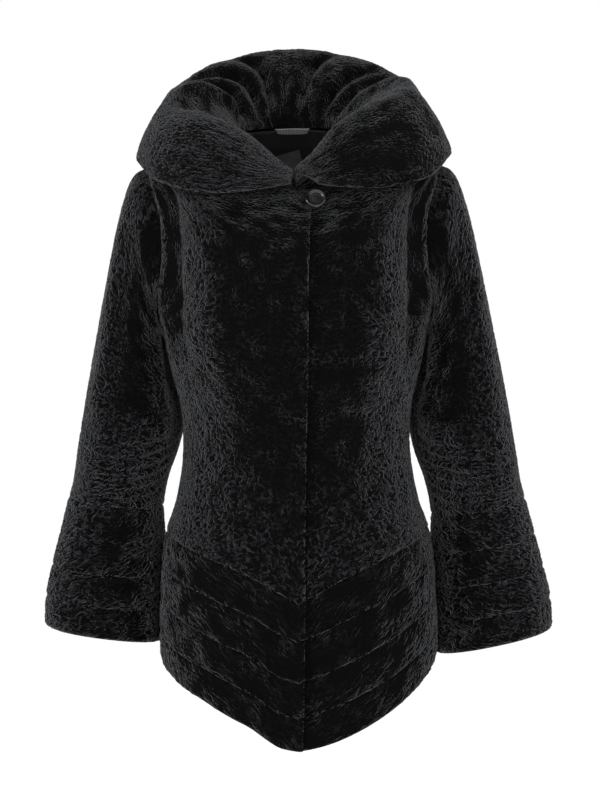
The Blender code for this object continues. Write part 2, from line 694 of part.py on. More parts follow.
def make_sleeves(into, finish):
    angle = (np.arange(SLEEVE_COLUMNS) * 2 * math.pi / SLEEVE_COLUMNS)[None, :]
    upper = np.concatenate([[0, 0.5], np.arange(1, LAST_SLEEVE_RING + 0.5)])
    spans = [("sleeve", upper, (False, True))]
    cuffs = np.arange(LAST_SLEEVE_RING, len(SLEEVE) + 0.5)
    for count, (top, bottom) in enumerate(zip(cuffs, cuffs[1:]), 1):
        spans.append((f"cuff_band_{count}", np.linspace(top, bottom, 3), (True, count < len(cuffs) - 1)))
    for name, sections, grooves in spans:
        groove = groove_at(sections, grooves)[:, None]
        outer = sleeve(angle, sections[:, None], -groove)
        inner = sleeve(angle, sections[:, None], -WALL)
        if name == "sleeve":
            turn, ring = armhole_place(angle[0])
            outer[0] = torso(turn, ring)
            own = sleeve_normal(angle[0], np.zeros(SLEEVE_COLUMNS))
            inner[0] = mitred(inner[0], outer[0], own, torso_normal(turn, ring))
            outer, inner = (stepped_back(points, rows=(0,), step=SEAM_GAP / 2) for points in (outer, inner))
        ends = (0, -1) if grooves[1] else (0,)
        outer, inner = stepped_back(outer, rows=ends), stepped_back(inner, rows=ends)
        for side, pose in (("left", left_arm), ("right", right_arm)):
            wall(f"{name}_{side}", pose(outer), pose(inner), finish, into, closed=True)


def make_collar(into, finish):
    back = np.linspace(-104, 104, 63)
    right_front = np.linspace(-178, -104, 9)[:-1]
    turn = np.concatenate([right_front, back, -right_front[::-1]])[None, :]
    along = np.linspace(0, 1, COLLAR_ROWS)[:, None]
    thin = np.where((along > 0.98) | (along < 0.02), 0.7, 1.0)
    half = COLLAR_WALL / 2 * thin
    wall("collar", collar(turn, along, half), collar(turn, along, -half), finish, into)


def place_on_back(x, z, lift):
    """Turn and ring where the back has this x and z, counted at this lift from its outside."""
    turn, ring = 2 + 0 * x, 1 + 0 * x
    for _ in range(30):
        point = torso(turn, ring, lift)
        turn = turn + (point[..., 0] - x) / 0.30
        ring = np.clip(ring + (point[..., 2] - z) / 0.06, 0, 6)
    return turn, ring


def laid_on_back(name, x, z, clear, thick, finish, into, rise=0.0):
    """A thin piece that lies on the lining at these places, clear of it by so much, and then slid up."""
    lining = -(WALL + SEAM_GAP + LINING_WALL)
    turn, ring = place_on_back(x, z - rise, lining)
    up = np.array([0, -LOOP_LEAN * rise, rise])
    outer, inner = torso(turn, ring, lining - clear), torso(turn, ring, lining - clear - thick)
    wall(name, outer + up, inner + up, finish, into)


def make_neck_lining(into, satin, tape):
    """The satin that shows inside the back of the neck, with a hanger loop and a plain sewn patch on it."""
    outer, inner = (points[LINING_ROWS, LINING_COLUMNS].copy() for points in back_points())
    for points in (outer, inner):
        points[0] += (points[1] - points[0]) * LINING_STARTS
    through = unit(inner - outer)
    wall("neck_lining", inner + through * SEAM_GAP, inner + through * (SEAM_GAP + LINING_WALL), satin, into)
    across, down = np.meshgrid(np.linspace(-1, 1, 11), np.linspace(0, 1, 3))
    bow = (1 - across**4) * LOOP_STANDS_OFF
    width = LOOP_SIZE[0] / 2 - down * LOOP_TAPER
    x, z = LOOP_MIDDLE[0] + across * width, LOOP_MIDDLE[1] - (down - 0.5) * LOOP_SIZE[1]
    laid_on_back("hanger_loop", x, z, CLEAR_OF_LINING + bow, LOOP_WALL, tape, into, LOOP_RISE)
    across, down = np.meshgrid(np.linspace(-0.5, 0.5, 7), np.linspace(-0.5, 0.5, 6))
    tilt = math.radians(PATCH_TILT)
    x = PATCH_MIDDLE[0] + across * PATCH_SIZE[0] * math.cos(tilt) + down * PATCH_SIZE[1] * math.sin(tilt)
    z = PATCH_MIDDLE[1] + across * PATCH_SIZE[0] * math.sin(tilt) - down * PATCH_SIZE[1] * math.cos(tilt)
    laid_on_back("neck_patch", x, z, CLEAR_OF_LINING, PATCH_WALL, tape, into)


def make_button(into, finish):
    """A turned button with a dished face inside a raised rim, over the edge of the right front."""
    x, z = BUTTON_AT
    ring = 1.0
    for _ in range(30):
        point = torso(turn_at(x, ring), ring)
        ring = ring + (point[2] - z) / 0.05
    facing = torso_normal(turn_at(x, ring), ring)
    mesh = bpy.data.meshes.new("button")
    bm = bmesh.new()
    points = [bm.verts.new((radius * MM, 0, height * MM)) for radius, height in BUTTON_SECTION]
    edges = [bm.edges.new(pair) for pair in zip(points, points[1:])]
    bmesh.ops.spin(
        bm, geom=points + edges, cent=(0, 0, 0), axis=(0, 0, 1), angle=2 * math.pi, steps=20, use_merge=True
    )
    bmesh.ops.remove_doubles(bm, verts=bm.verts[:], dist=1e-6)
    bmesh.ops.recalc_face_normals(bm, faces=bm.faces[:])
    turned = Vector(facing).to_track_quat("Z", "Y").to_matrix().to_4x4()
    bmesh.ops.transform(bm, matrix=Matrix.Translation(point + facing * 0.5 * MM) @ turned, verts=bm.verts[:])
    bm.to_mesh(mesh)
    bm.free()
    mesh.materials.append(finish)
    mesh.shade_smooth()
    mesh.set_sharp_from_angle(angle=math.radians(50))
    obj = bpy.data.objects.new("button", mesh)
    into.objects.link(obj)


main()
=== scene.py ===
# %% [markdown]
# A hip-length jacket of black curly shearling, filled out as if worn. This notebook builds its looks around
# the imported CAD model. We load that model first, because it fixes every size and place.

# %% Load the frame
import json
import math

import bmesh
import bpy
import numpy as np
from mathutils import Matrix, Vector

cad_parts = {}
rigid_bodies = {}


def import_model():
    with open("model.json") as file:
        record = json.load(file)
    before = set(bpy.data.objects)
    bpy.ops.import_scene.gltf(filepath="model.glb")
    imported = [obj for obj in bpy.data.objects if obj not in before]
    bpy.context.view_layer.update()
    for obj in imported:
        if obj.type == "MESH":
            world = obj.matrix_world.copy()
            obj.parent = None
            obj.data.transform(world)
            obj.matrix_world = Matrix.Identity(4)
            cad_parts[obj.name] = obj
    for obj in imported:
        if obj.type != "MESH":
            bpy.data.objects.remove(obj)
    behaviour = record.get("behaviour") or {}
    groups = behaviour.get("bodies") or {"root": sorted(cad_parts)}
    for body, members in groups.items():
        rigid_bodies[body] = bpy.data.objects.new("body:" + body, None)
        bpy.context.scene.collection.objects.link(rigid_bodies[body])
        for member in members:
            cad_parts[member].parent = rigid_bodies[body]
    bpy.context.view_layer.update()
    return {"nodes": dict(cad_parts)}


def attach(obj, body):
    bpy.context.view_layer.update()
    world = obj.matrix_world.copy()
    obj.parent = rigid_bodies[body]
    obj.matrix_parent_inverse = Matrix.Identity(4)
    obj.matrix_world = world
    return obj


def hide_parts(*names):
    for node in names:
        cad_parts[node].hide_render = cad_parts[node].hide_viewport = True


MM = 0.001
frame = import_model()
print("CAD nodes:", len(frame["nodes"]))

# %% [markdown]
# Shearling is a sheepskin with its wool clipped to an even height, so a panel is a thick wall, not a thin
# sheet. Its curls could be hair particles, relief in the mesh or bump in the finish. Hair is slow and
# doesn't export, so the larger curls are real relief, which shows in silhouette, and the finer ones are
# bump, which costs no triangles. Every panel is cut from one smooth form of the body, the sleeve or the
# collar, and each form is a table of sections with a smooth curve run through them.

# %% Smooth curves through tables
WALL = 7.0 * MM
COLLAR_WALL = 10.0 * MM


def hermite(a, b, da, db, share):
    s2, s3 = share**2, share**3
    return (2 * s3 - 3 * s2 + 1) * a + (s3 - 2 * s2 + share) * da + (3 * s2 - 2 * s3) * b + (s3 - s2) * db


def smooth(keys, at):
    """The smooth curve through evenly numbered keys, read at the numbers in at."""
    at = np.clip(np.asarray(at, float), 0, len(keys) - 1)
    low = np.minimum(at.astype(int), len(keys) - 2)
    slope = np.gradient(keys, axis=0)
    return hermite(keys[low], keys[low + 1], slope[low], slope[low + 1], at - low)


def ease(low, high, value):
    share = np.clip((value - low) / (high - low), 0, 1)
    return share * share * (3 - 2 * share)


def unit(vectors):
    return vectors / np.maximum(np.linalg.norm(vectors, axis=-1, keepdims=True), 1e-12)


def normals_of(form, first, second, step=1e-3):
    along_first = form(first + step, second) - form(first - step, second)
    along_second = form(first, second + step) - form(first, second - step)
    return unit(np.cross(along_first, along_second))


def crease_height(creases, place, ring):
    height = np.zeros(np.broadcast(place, ring).shape)
    for place_top, place_bottom, ring_top, ring_bottom, width, crest in creases:
        down = np.clip((ring - ring_top) / (ring_bottom - ring_top), 0, 1)
        line = place_top + (place_bottom - place_top) * down
        strength = np.sin(math.pi * down) ** 0.6
        height += crest * MM * strength * np.exp(-(((place - line) / width) ** 2))
    return height

# %% [markdown]
# The torso is a stack of rounded rings. Each row of the table is one ring, in millimetres, with its own
# height in front, at the side and at the back, which gives the sloping shoulders and the hem that comes to
# a point. Soft troughs run from the armholes to the waist, where the cloth is drawn in.

# %% The torso form
SQUARENESS = 2.25
TORSO_COLUMNS = (
    "front", "side", "back", "half_width", "front_depth", "back_depth", "pointed", "edge", "square"
)
TORSO = {
    "neck": (-72, 2, 12, 82, 90, 66, 0.0, 30, 2.25),
    "collarbone": (-93, -20, -8, 132, 106, 80, 0.0, 25, 2.25),
    "shoulder tip": (-118, -42, -42, 184, 119, 94, 0.0, 21, 2.25),
    "upper chest": (-150, -96, -92, 182, 128, 103, 0.0, 20, 2.25),
    "bust": (-205, -165, -160, 179, 134, 105, 0.0, 18, 2.3),
    "armpit": (-268, -240, -240, 176, 131, 100, 0.0, 17, 2.3),
    "ribs": (-325, -302, -302, 165, 121, 91, 0.0, 16, 2.3),
    "waist top": (-385, -360, -360, 151, 112, 84, 0.05, 14, 2.3),
    "waist": (-446, -420, -425, 149, 110, 84, 0.2, 12, 2.3),
    "upper hip": (-526, -478, -486, 158, 115, 98, 0.6, 10, 2.45),
    "hip seam": (-611, -520, -530, 172, 123, 112, 1.0, 9, 2.55),
    "band two": (-661, -561, -572, 178, 126, 117, 0.75, 8, 2.65),
    "band three": (-713, -604, -614, 180, 128, 120, 0.5, 7, 2.65),
    "band four": (-757, -646, -656, 182, 129, 122, 0.35, 6, 2.65),
    "hem": (-800, -684, -698, 181, 130, 124, 0.2, 4, 2.6),
}
RINGS = {name: float(i) for i, name in enumerate(TORSO)}
TORSO_CREASES = {
    "armhole trough": (0.62, 0.65, 1.5, 6.4, 0.090, -8.5),
    "armhole ridge": (0.84, 0.85, 1.9, 5.2, 0.110, 9.0),
    "chest ridge": (0.42, 0.40, 1.5, 6.8, 0.100, 4.0),
    "hip ridge": (0.70, 0.62, 7.4, 10.0, 0.120, 2.0),
    "back blade trough": (1.55, 1.30, 2.4, 7.2, 0.110, -6.0),
    "back waist ridge": (1.72, 1.66, 5.4, 9.6, 0.100, 3.0),
}
TORSO_KEYS = np.array(list(TORSO.values()), float)


def torso_column(name, ring):
    return smooth(TORSO_KEYS[:, TORSO_COLUMNS.index(name)], ring)


def plain_torso(turn, ring):
    """turn counts quarter turns from the middle of the front towards the wearer's left, ring the sections."""
    turn, ring = np.broadcast_arrays(np.asarray(turn, float), np.asarray(ring, float))
    sine, cosine = np.sin(turn * math.pi / 2), np.cos(turn * math.pi / 2)
    in_front = cosine > 0
    square = np.where(in_front, torso_column("square", ring), SQUARENESS)
    round_out = (np.abs(sine) ** square + np.abs(cosine) ** square) ** (-1 / square)
    depth = np.where(in_front, torso_column("front_depth", ring), torso_column("back_depth", ring))
    from_middle = np.abs((turn + 2) % 4 - 2)
    to_side = np.where(in_front, from_middle, 2 - from_middle)
    pointed = torso_column("pointed", ring)
    wave = (1 - np.cos(math.pi * to_side)) / 2
    front_rise = pointed * np.sin(math.pi / 2 * to_side) + (1 - pointed) * wave
    middle = np.where(in_front, torso_column("front", ring), torso_column("back", ring))
    rise = np.where(in_front, front_rise, wave)
    height = middle + (torso_column("side", ring) - middle) * rise
    x = torso_column("half_width", ring) * sine * round_out
    return np.stack([x, -depth * cosine * round_out, height], axis=-1) * MM


def torso_normal(turn, ring):
    return -normals_of(plain_torso, np.asarray(turn, float), np.asarray(ring, float))


def torso(turn, ring, lift=0.0):
    turn, ring = np.broadcast_arrays(np.asarray(turn, float), np.asarray(ring, float))
    height = crease_height(TORSO_CREASES.values(), np.abs((turn + 2) % 4 - 2), ring)
    return plain_torso(turn, ring) + torso_normal(turn, ring) * (height + lift)[..., None]

# %% [markdown]
# The fronts' edges are vertical lines on the torso. The right front ends a little past the middle, and the
# left one runs on beneath it as an underlap, which sinks by one wall so that the two pelts don't cross.

# %% The front edges
UNDERLAP = 34.0 * MM
UNDERLAP_SLOPE = 42.0 * MM
UNDERLAP_CLEARANCE = 1.2 * MM


def turn_at(x, ring):
    return np.arcsin(np.clip(x / (torso_column("half_width", ring) * MM), -1, 1)) / (math.pi / 2)


def front_edge_turn(ring):
    return turn_at(torso_column("edge", ring) * MM, ring)


def over_edge_turn(ring):
    return -front_edge_turn(ring)


def under_edge_turn(ring):
    return turn_at(torso_column("edge", ring) * MM - UNDERLAP, ring)


def underlap_dip(turn, ring):
    past = (turn - front_edge_turn(ring)) * math.pi / 2 * torso_column("half_width", ring) * MM
    return -(WALL + UNDERLAP_CLEARANCE) * (1 - ease(2 * MM, UNDERLAP_SLOPE, past))


print("torso sections:", len(TORSO), "creases:", len(TORSO_CREASES))

# %% [markdown]
# The armhole is an oval drawn on the torso, and the sleeve starts on that same line. There its wall also
# turns the way the body's wall does, so the two edges meet without a gap, as sewn edges do. The sleeve is a
# tube that widens into a bell. Its sections are given by their outer and inner ends.

# %% The armhole and the sleeve form
ARMHOLE_TOP = RINGS["shoulder tip"]
ARMHOLE_BOTTOM = RINGS["armpit"]
ARMHOLE_REACH = 0.25
SLEEVE_DIP = 5.0 * MM
SEWN_SECTION = 0.7
LEFT_SLEEVE_DROP = 11.0 * MM
LEFT_SLEEVE_TILT = 0.06
RIGHT_HEM_LIFT = 13 * MM
SLEEVE = {
    "sleeve head": (211, 0, -56, 181, 8, -254, 58),
    "upper arm": (230, 2, -110, 171, 30, -272, 66),
    "biceps": (247, 5, -190, 163, 40, -297, 71),
    "above elbow": (262, 6, -268, 158, 41, -322, 72),
    "elbow": (276, 6, -343, 147, 43, -362, 71),
    "below elbow": (287, 4, -408, 156, 44, -408, 70),
    "forearm": (293, 0, -450, 171, 42, -450, 69),
    "cuff seam": (299, -4, -474, 178, 42, -490, 69),
    "cuff two": (311, -6, -520, 176, 42, -536, 71),
    "cuff three": (322, -8, -563, 177, 42, -580, 73),
    "cuff four": (330, -10, -602, 178, 42, -624, 75),
    "cuff hem": (332, -12, -640, 179, 42, -666, 76),
}
SLEEVE_CREASES = {
    "outer fold": (34, 46, 0.8, 5.4, 13, 4.5),
    "front trough": (68, 72, 0.6, 6.0, 16, -4.0),
    "inner fold": (122, 130, 0.5, 6.2, 9, 5.0),
    "inner trough": (143, 150, 0.6, 6.2, 10, -6.0),
    "back trough": (250, 262, 0.8, 6.2, 18, -4.0),
}
LAST_SLEEVE_RING = float(list(SLEEVE).index("cuff seam") + 1)


def armhole_place(angle):
    middle, half = (ARMHOLE_TOP + ARMHOLE_BOTTOM) / 2, (ARMHOLE_BOTTOM - ARMHOLE_TOP) / 2
    return 1 - ARMHOLE_REACH * np.sin(angle), middle - half * np.cos(angle)


def sleeve_rings(angle):
    sine, cosine = np.sin(angle), np.cos(angle)
    round_out = ((np.abs(sine) ** SQUARENESS + np.abs(cosine) ** SQUARENESS) ** (-1 / SQUARENESS))[..., None]
    rings = [torso(*armhole_place(angle))]
    for *ends, half_depth in SLEEVE.values():
        outer, inner = np.array(ends[:3]) * MM, np.array(ends[3:]) * MM
        to_front = np.array([0, -half_depth * MM, -SLEEVE_DIP])
        across = cosine[..., None] * (outer - inner) / 2 + sine[..., None] * to_front
        rings.append((outer + inner) / 2 + across * round_out)
    return np.array(rings)


def plain_sleeve(angle, section):
    """A point of the left sleeve's outside: angle 0 is the outer side and a quarter turn the front."""
    angle, section = np.broadcast_arrays(np.asarray(angle, float), np.asarray(section, float))
    rings = sleeve_rings(angle)
    low = np.clip(section, 0, len(rings) - 1)
    first = np.minimum(low.astype(int), len(rings) - 2)
    slope = np.gradient(rings, axis=0)
    pick = tuple(np.indices(first.shape))
    here, after = (first, *pick), (first + 1, *pick)
    return hermite(rings[here], rings[after], slope[here], slope[after], (low - first)[..., None])


def sleeve_normal(angle, section):
    return normals_of(plain_sleeve, np.asarray(angle, float), np.maximum(np.asarray(section, float), 2e-3))


def sleeve(angle, section, lift=0.0):
    angle, section = np.broadcast_arrays(np.asarray(angle, float), np.asarray(section, float))
    height = crease_height(SLEEVE_CREASES.values(), np.degrees(angle) % 360, section)
    sewn = (1 - ease(0, SEWN_SECTION, section))[..., None]
    out = unit(sleeve_normal(angle, section) * (1 - sewn) + torso_normal(*armhole_place(angle)) * sewn)
    return plain_sleeve(angle, section) + out * (height + lift)[..., None]


def left_arm(points):
    """The left sleeve hangs a little lower than the right one, most of all at the cuff's inner side."""
    drop = LEFT_SLEEVE_DROP + LEFT_SLEEVE_TILT * (0.33 - points[..., 0])
    drop = drop * ease(-0.27, -0.60, points[..., 2])
    return points - np.stack([0 * drop, 0 * drop, drop], axis=-1)


def right_arm(points):
    return points * np.array([-1, 1, 1])


def right_side(points):
    """The wearer's right front and bands: the mirror of the left ones, with the hem a little higher."""
    points = right_arm(points)
    inside_front = ease(-0.02, -0.07, points[..., 0]) * ease(-0.185, -0.115, points[..., 0])
    lift = RIGHT_HEM_LIFT * inside_front * ease(-0.50, -0.76, points[..., 2])
    return points + np.stack([0 * lift, 0 * lift, lift], axis=-1)


print("sleeve sections:", len(SLEEVE) + 1)

# %% [markdown]
# The collar is one wide piece gathered into the neck seam. It stands up, rolls over at a rim and falls over
# the shoulders. Each profile is two curves, from the neck to the rim and from the rim to the free edge, and
# stands at its own turn, in degrees from the middle of the back towards the wearer's left. The gathers are
# ridges that fan out from the neck.

# %% The collar form
NECK_SEAM_GAP = 1.3 * MM
COLLAR_COLUMNS = ("rim_x", "rim_y", "rim_z", "edge_x", "edge_y", "edge_z", "stand", "roll", "drop")
COLLAR = {
    -178: (-1, -106, -62, -3, -118, -75, 9, 6, 6),
    -165: (-34, -104, -38, -58, -120, -83, 16, 14, 20),
    -150: (-70, -100, -9, -116, -110, -84, 18, 18, 34),
    -135: (-114, -84, 13, -168, -84, -70, 18, 20, 34),
    -115: (-154, -46, 26, -197, -40, -42, 18, 18, 24),
    -93: (-150, 4, 60, -197, 4, -30, 24, 12, 18),
    -72: (-137, 50, 75, -186, 56, -44, 30, 16, 34),
    -50: (-104, 84, 98, -142, 97, -58, 40, 20, 56),
    -25: (-52, 102, 113, -74, 118, -62, 50, 20, 70),
    0: (0, 105, 118, 0, 124, -62, 52, 20, 70),
    25: (52, 102, 114, 74, 118, -62, 50, 20, 70),
    50: (106, 84, 97, 142, 97, -58, 40, 20, 56),
    72: (141, 50, 75, 186, 56, -44, 30, 16, 34),
    93: (151, 4, 62, 199, 4, -30, 24, 12, 18),
    115: (144, -44, 46, 199, -42, -38, 20, 18, 26),
    135: (108, -80, 27, 168, -88, -68, 18, 20, 38),
    150: (68, -98, 4, 116, -114, -80, 18, 20, 38),
    165: (34, -103, -32, 66, -122, -80, 16, 14, 22),
    178: (2, -106, -60, 31, -124, -76, 9, 6, 8),
}
GATHERS = {
    "right hollow": (-66, -103, 0.9, 8.0, 17.0, 0.60),
    "right outer": (-52, -87, 2.4, 6.5, -18.0, 0.62),
    "right middle": (-34, -74, 2.7, 5.0, -15.0, 0.58),
    "right inner": (-21, -39, 2.6, 4.5, -16.0, 0.58),
    "middle": (-7, -8, 1.0, 4.0, -6.0, 0.46),
    "left inner": (1, 29, 1.0, 5.0, -16.0, 0.58),
    "left middle": (27, 60, 1.1, 4.5, -12.0, 0.58),
    "left outer": (45, 70, 1.3, 6.0, -15.0, 0.60),
    "left hollow": (62, 90, 1.3, 8.0, 8.0, 0.64),
}
COLLAR_TURNS = np.array(list(COLLAR), float)
COLLAR_KEYS = np.array(list(COLLAR.values()), float)


def collar_column(name, turn):
    keys = COLLAR_KEYS[:, COLLAR_COLUMNS.index(name)]
    slope = np.gradient(keys, COLLAR_TURNS)
    low = np.clip(np.searchsorted(COLLAR_TURNS, turn, side="right") - 1, 0, len(keys) - 2)
    span = COLLAR_TURNS[low + 1] - COLLAR_TURNS[low]
    share = np.clip((turn - COLLAR_TURNS[low]) / span, 0, 1)
    return hermite(keys[low], keys[low + 1], span * slope[low], span * slope[low + 1], share)


def into_neck(turn):
    step = 1e-3
    along = plain_torso(turn + step, 0.0) - plain_torso(turn - step, 0.0)
    return unit(np.stack([-along[..., 1], along[..., 0], 0 * along[..., 0]], axis=-1))


def collar_base(turn):
    torso_turn = 2 - turn / 90
    sink = np.where(turn > 0, underlap_dip((torso_turn + 2) % 4 - 2, np.zeros_like(turn)), 0.0)
    seam = torso(torso_turn, np.zeros_like(turn), sink)
    return seam + into_neck(torso_turn) * (WALL / 2 + 0.5 * MM) + np.array([0, 0, NECK_SEAM_GAP])


def plain_collar(turn, along):
    """turn is in degrees from the middle of the back; along runs from 0 at the neck over the rim to 1."""
    turn, along = np.broadcast_arrays(np.asarray(turn, float), np.asarray(along, float))
    base = collar_base(turn)
    rim = np.stack([collar_column("rim_" + axis, turn) for axis in "xyz"], axis=-1) * MM
    edge = np.stack([collar_column("edge_" + axis, turn) for axis in "xyz"], axis=-1) * MM
    outward = unit((edge - base) * np.array([1, 1, 0]))
    up = np.array([0, 0, 1])
    stand, roll, drop = ((collar_column(name, turn) * MM)[..., None] for name in ("stand", "roll", "drop"))
    inside = (base, base + up * stand, rim - outward * roll, rim)
    outside = (rim, rim + outward * roll, edge + up * drop, edge)
    share = np.where(along < 0.5, along * 2, along * 2 - 1)[..., None]
    weights = ((1 - share) ** 3, 3 * share * (1 - share) ** 2, 3 * share**2 * (1 - share), share**3)
    first = sum(w * p for w, p in zip(weights, inside))
    second = sum(w * p for w, p in zip(weights, outside))
    return np.where((along < 0.5)[..., None], first, second)


def gather_height(turn, along):
    height = np.zeros(np.broadcast(turn, along).shape)
    to_rim = np.clip(along / 0.5, 1e-6, 1)
    for neck, rim, bend, width, crest, reach in GATHERS.values():
        line = neck + (rim - neck) * to_rim**bend
        strength = ease(0.02, 0.18, along) * (1 - ease(reach - 0.28, reach, along))
        spread = width * (0.75 + 0.45 * to_rim)
        height += crest * MM * strength * np.exp(-(np.abs((turn - line) / spread) ** 1.6))
    return height


def collar(turn, along, lift=0.0):
    turn, along = np.broadcast_arrays(np.asarray(turn, float), np.asarray(along, float))
    safe = np.clip(along, 2e-3, 1 - 2e-3)
    out = normals_of(lambda a, b: plain_collar(a * 90, b), turn / 90, safe)
    return plain_collar(turn, along) + out * (lift + gather_height(turn, along))[..., None]


print("collar stations:", len(COLLAR), "gathers:", len(GATHERS))

# %% [markdown]
# Sheared lamb keeps the wave of its curl: short wavy ridges, small and round on the body and longer on the
# legs and flanks, from which the bands are cut. We need a noise that can be stretched along a grain and
# bent, so we write a small one: random slopes on a lattice, blended smoothly between its corners. Sizes are
# in millimetres.

# %% Curly pile
BEND_PATCH = 24.0
STRETCH_SHARE = 0.3
GRAIN = {
    "body": {"across": 6.2, "along": 5.4, "height": 1.9, "bend": 5.5, "seed": 3},
    "collar": {"across": 6.2, "along": 5.4, "height": 1.9, "bend": 5.5, "seed": 11},
    "band": {"across": 4.8, "along": 9.5, "height": 2.8, "bend": 6.0, "seed": 23},
    "cuff": {"across": 4.8, "along": 9.5, "height": 2.8, "bend": 6.0, "seed": 37},
}


def lattice_noise(points, seed):
    """Smooth noise between about -1 and 1 at points of two coordinates."""
    mixed = np.random.default_rng(seed).permutation(1024)
    angles = np.random.default_rng(seed + 1).uniform(0, 2 * math.pi, 1024)
    cell = np.floor(points).astype(int)
    inside = points - cell
    fade = inside**3 * (inside * (inside * 6 - 15) + 10)
    corner = {}
    for i in (0, 1):
        for j in (0, 1):
            number = mixed[(cell[..., 0] + i + mixed[(cell[..., 1] + j) % 1024]) % 1024]
            dx, dy = inside[..., 0] - i, inside[..., 1] - j
            corner[i, j] = np.cos(angles[number]) * dx + np.sin(angles[number]) * dy
    low = corner[0, 0] + (corner[1, 0] - corner[0, 0]) * fade[..., 0]
    high = corner[0, 1] + (corner[1, 1] - corner[0, 1]) * fade[..., 0]
    return (low + (high - low) * fade[..., 1]) * 1.5


def combed(across, along, grain, lean=0.0):
    """Places in millimetres across and along the grain, bent as the wool is and counted in curls."""
    kind = GRAIN[grain]
    wide = np.stack([across, along], axis=-1) / BEND_PATCH
    bend = lattice_noise(wide, kind["seed"] + 5) * kind["bend"]
    stretch = lattice_noise(wide + 40.0, kind["seed"] + 6) * kind["bend"] * STRETCH_SHARE
    sideways = (across + bend + lean * along) / kind["across"]
    return np.stack([sideways, (along + stretch) / kind["along"]], axis=-1)


def curls(place, grain):
    """The pile's height, 0 to 1, at combed places."""
    seed = GRAIN[grain]["seed"]
    ridge = 1 - np.abs(lattice_noise(place * 0.7, seed)) * 1.7
    finer = 1 - np.abs(lattice_noise(place * 1.4 + 9.0, seed + 1)) * 1.7
    return np.clip(0.68 * ridge + 0.32 * finer, 0, 1)


sample = curls(combed(np.linspace(0, 100, 400), np.full(400, 10.0), "body"), "body")
print("curls on the body: mean height", round(float(sample.mean()), 2), "of 1")

# %% [markdown]
# How large a skin does each piece need? We measure that on the piece's own form, before it gets its curls:
# along two lines through its middle, and as a sum of small tiles.

# %% Measure a piece
def size_of(form):
    """Width and length of a piece through its middle, in metres."""
    line = np.linspace(0, 1, 60)
    lengths = []
    for u, v in ((line, 0 * line + 0.5), (0 * line + 0.5, line)):
        points = form(u, v, 0 * line)
        lengths.append(float(np.linalg.norm(np.diff(points, axis=0), axis=1).sum()))
    return lengths


def area_of(form):
    """The area of a piece's own form, without its curls, in square metres."""
    u, v = np.meshgrid(np.linspace(0, 1, 60), np.linspace(0, 1, 60))
    places = form(u, v, 0 * u)
    across, along = places[1:, 1:] - places[:-1, :-1], places[1:, :-1] - places[:-1, 1:]
    return float(np.linalg.norm(np.cross(across, along), axis=-1).sum() / 2)

# %% [markdown]
# Every cloth piece is made in the same way. We lay a flat grid, extrude it to get a wall, and subdivide
# only the outer side, which carries the curls. The collar alone is subdivided on both sides, because both
# show. The mesh stays flat while these operators run, so a point's x and y say where it is on its panel and
# its z says which layer it is on. Two things are kept on the mesh for the finish: the places along the
# grain and how tightly it curls. A tube's long seam stays open until the grain has been laid, so that the
# curls run on across it without a jump.

# %% The flat wall and its grain
FINE_CUTS = 4
FINE_CUTS_BOTH_SIDES = 3
INNER_SIDE_SHIFT = 31.0


def flat_wall(columns, rows, tube, both_sides):
    """The wall as a flat slab of 1 by 1, with its outer side subdivided. A tube stays open at x 0 and 1."""
    bm = bmesh.new()
    bmesh.ops.create_grid(bm, x_segments=columns, y_segments=rows, size=0.5)
    bmesh.ops.translate(bm, vec=(0.5, 0.5, 0), verts=bm.verts[:])
    outer = bm.faces[:]
    made = bmesh.ops.extrude_face_region(bm, geom=outer, use_keep_orig=True)
    inner = [v for v in made["geom"] if isinstance(v, bmesh.types.BMVert)]
    bmesh.ops.translate(bm, vec=(0, 0, -1), verts=inner)
    bmesh.ops.recalc_face_normals(bm, faces=bm.faces[:])
    if tube:
        first_end = [f for f in bm.faces if all(v.co.x < 1e-6 for v in f.verts)]
        last_end = [f for f in bm.faces if all(v.co.x > 1 - 1e-6 for v in f.verts)]
        bmesh.ops.delete(bm, geom=first_end + last_end, context="FACES_ONLY")
    if both_sides:
        across = [e for e in bm.edges if abs(e.verts[0].co.z - e.verts[1].co.z) < 0.5]
        bmesh.ops.subdivide_edges(bm, edges=across, cuts=FINE_CUTS_BOTH_SIDES, use_grid_fill=True)
        return bm
    top = [e for e in bm.edges if all(v.co.z > -0.5 for v in e.verts)]
    bmesh.ops.subdivide_edges(bm, edges=top, cuts=FINE_CUTS, use_grid_fill=True)
    return bm


def lay_grain(mesh, flat, pile):
    """Writes the combed places as a UV map, corner by corner, so that the finish can follow the wool."""
    corners = np.empty(len(mesh.loops), dtype=int)
    mesh.loops.foreach_get("vertex_index", corners)
    place = pile.place(flat[:, 0], 1 - flat[:, 1]) + (flat[:, 2:] < -0.5) * INNER_SIDE_SHIFT
    layer = mesh.uv_layers.new(name="grain")
    layer.data.foreach_set("uv", place[corners].astype(np.float32).ravel())


def sew_tube(mesh):
    """Closes a tube's long seam, once its grain has been laid without a jump."""
    bm = bmesh.new()
    bm.from_mesh(mesh)
    bmesh.ops.remove_doubles(bm, verts=[v for v in bm.verts if v.is_boundary], dist=1e-5)
    bm.to_mesh(mesh)
    bm.free()

# %% [markdown]
# Now the piece itself: all points of the flat wall move to the form at once. Along a sewn edge the wool is
# nipped into the seam, more in some places than in others. Along a free edge the wall is rounded. The curls
# stand on the outer side only, or on both where there is no lining.

# %% From a flat wall to a piece
CELL = 10.0 * MM
CELL_BOTH_SIDES = 10.6 * MM
PILE_MIDDLE = 0.45
ROUND_EDGE = 3.0 * MM
NIP_DEPTH = 2.4 * MM
NIP_WIDTH = 3.2
NIP_BREAKS = 26.0
NIP_MEAN = 0.62
NIP_SWING = 0.9
NIP_SEED = 71


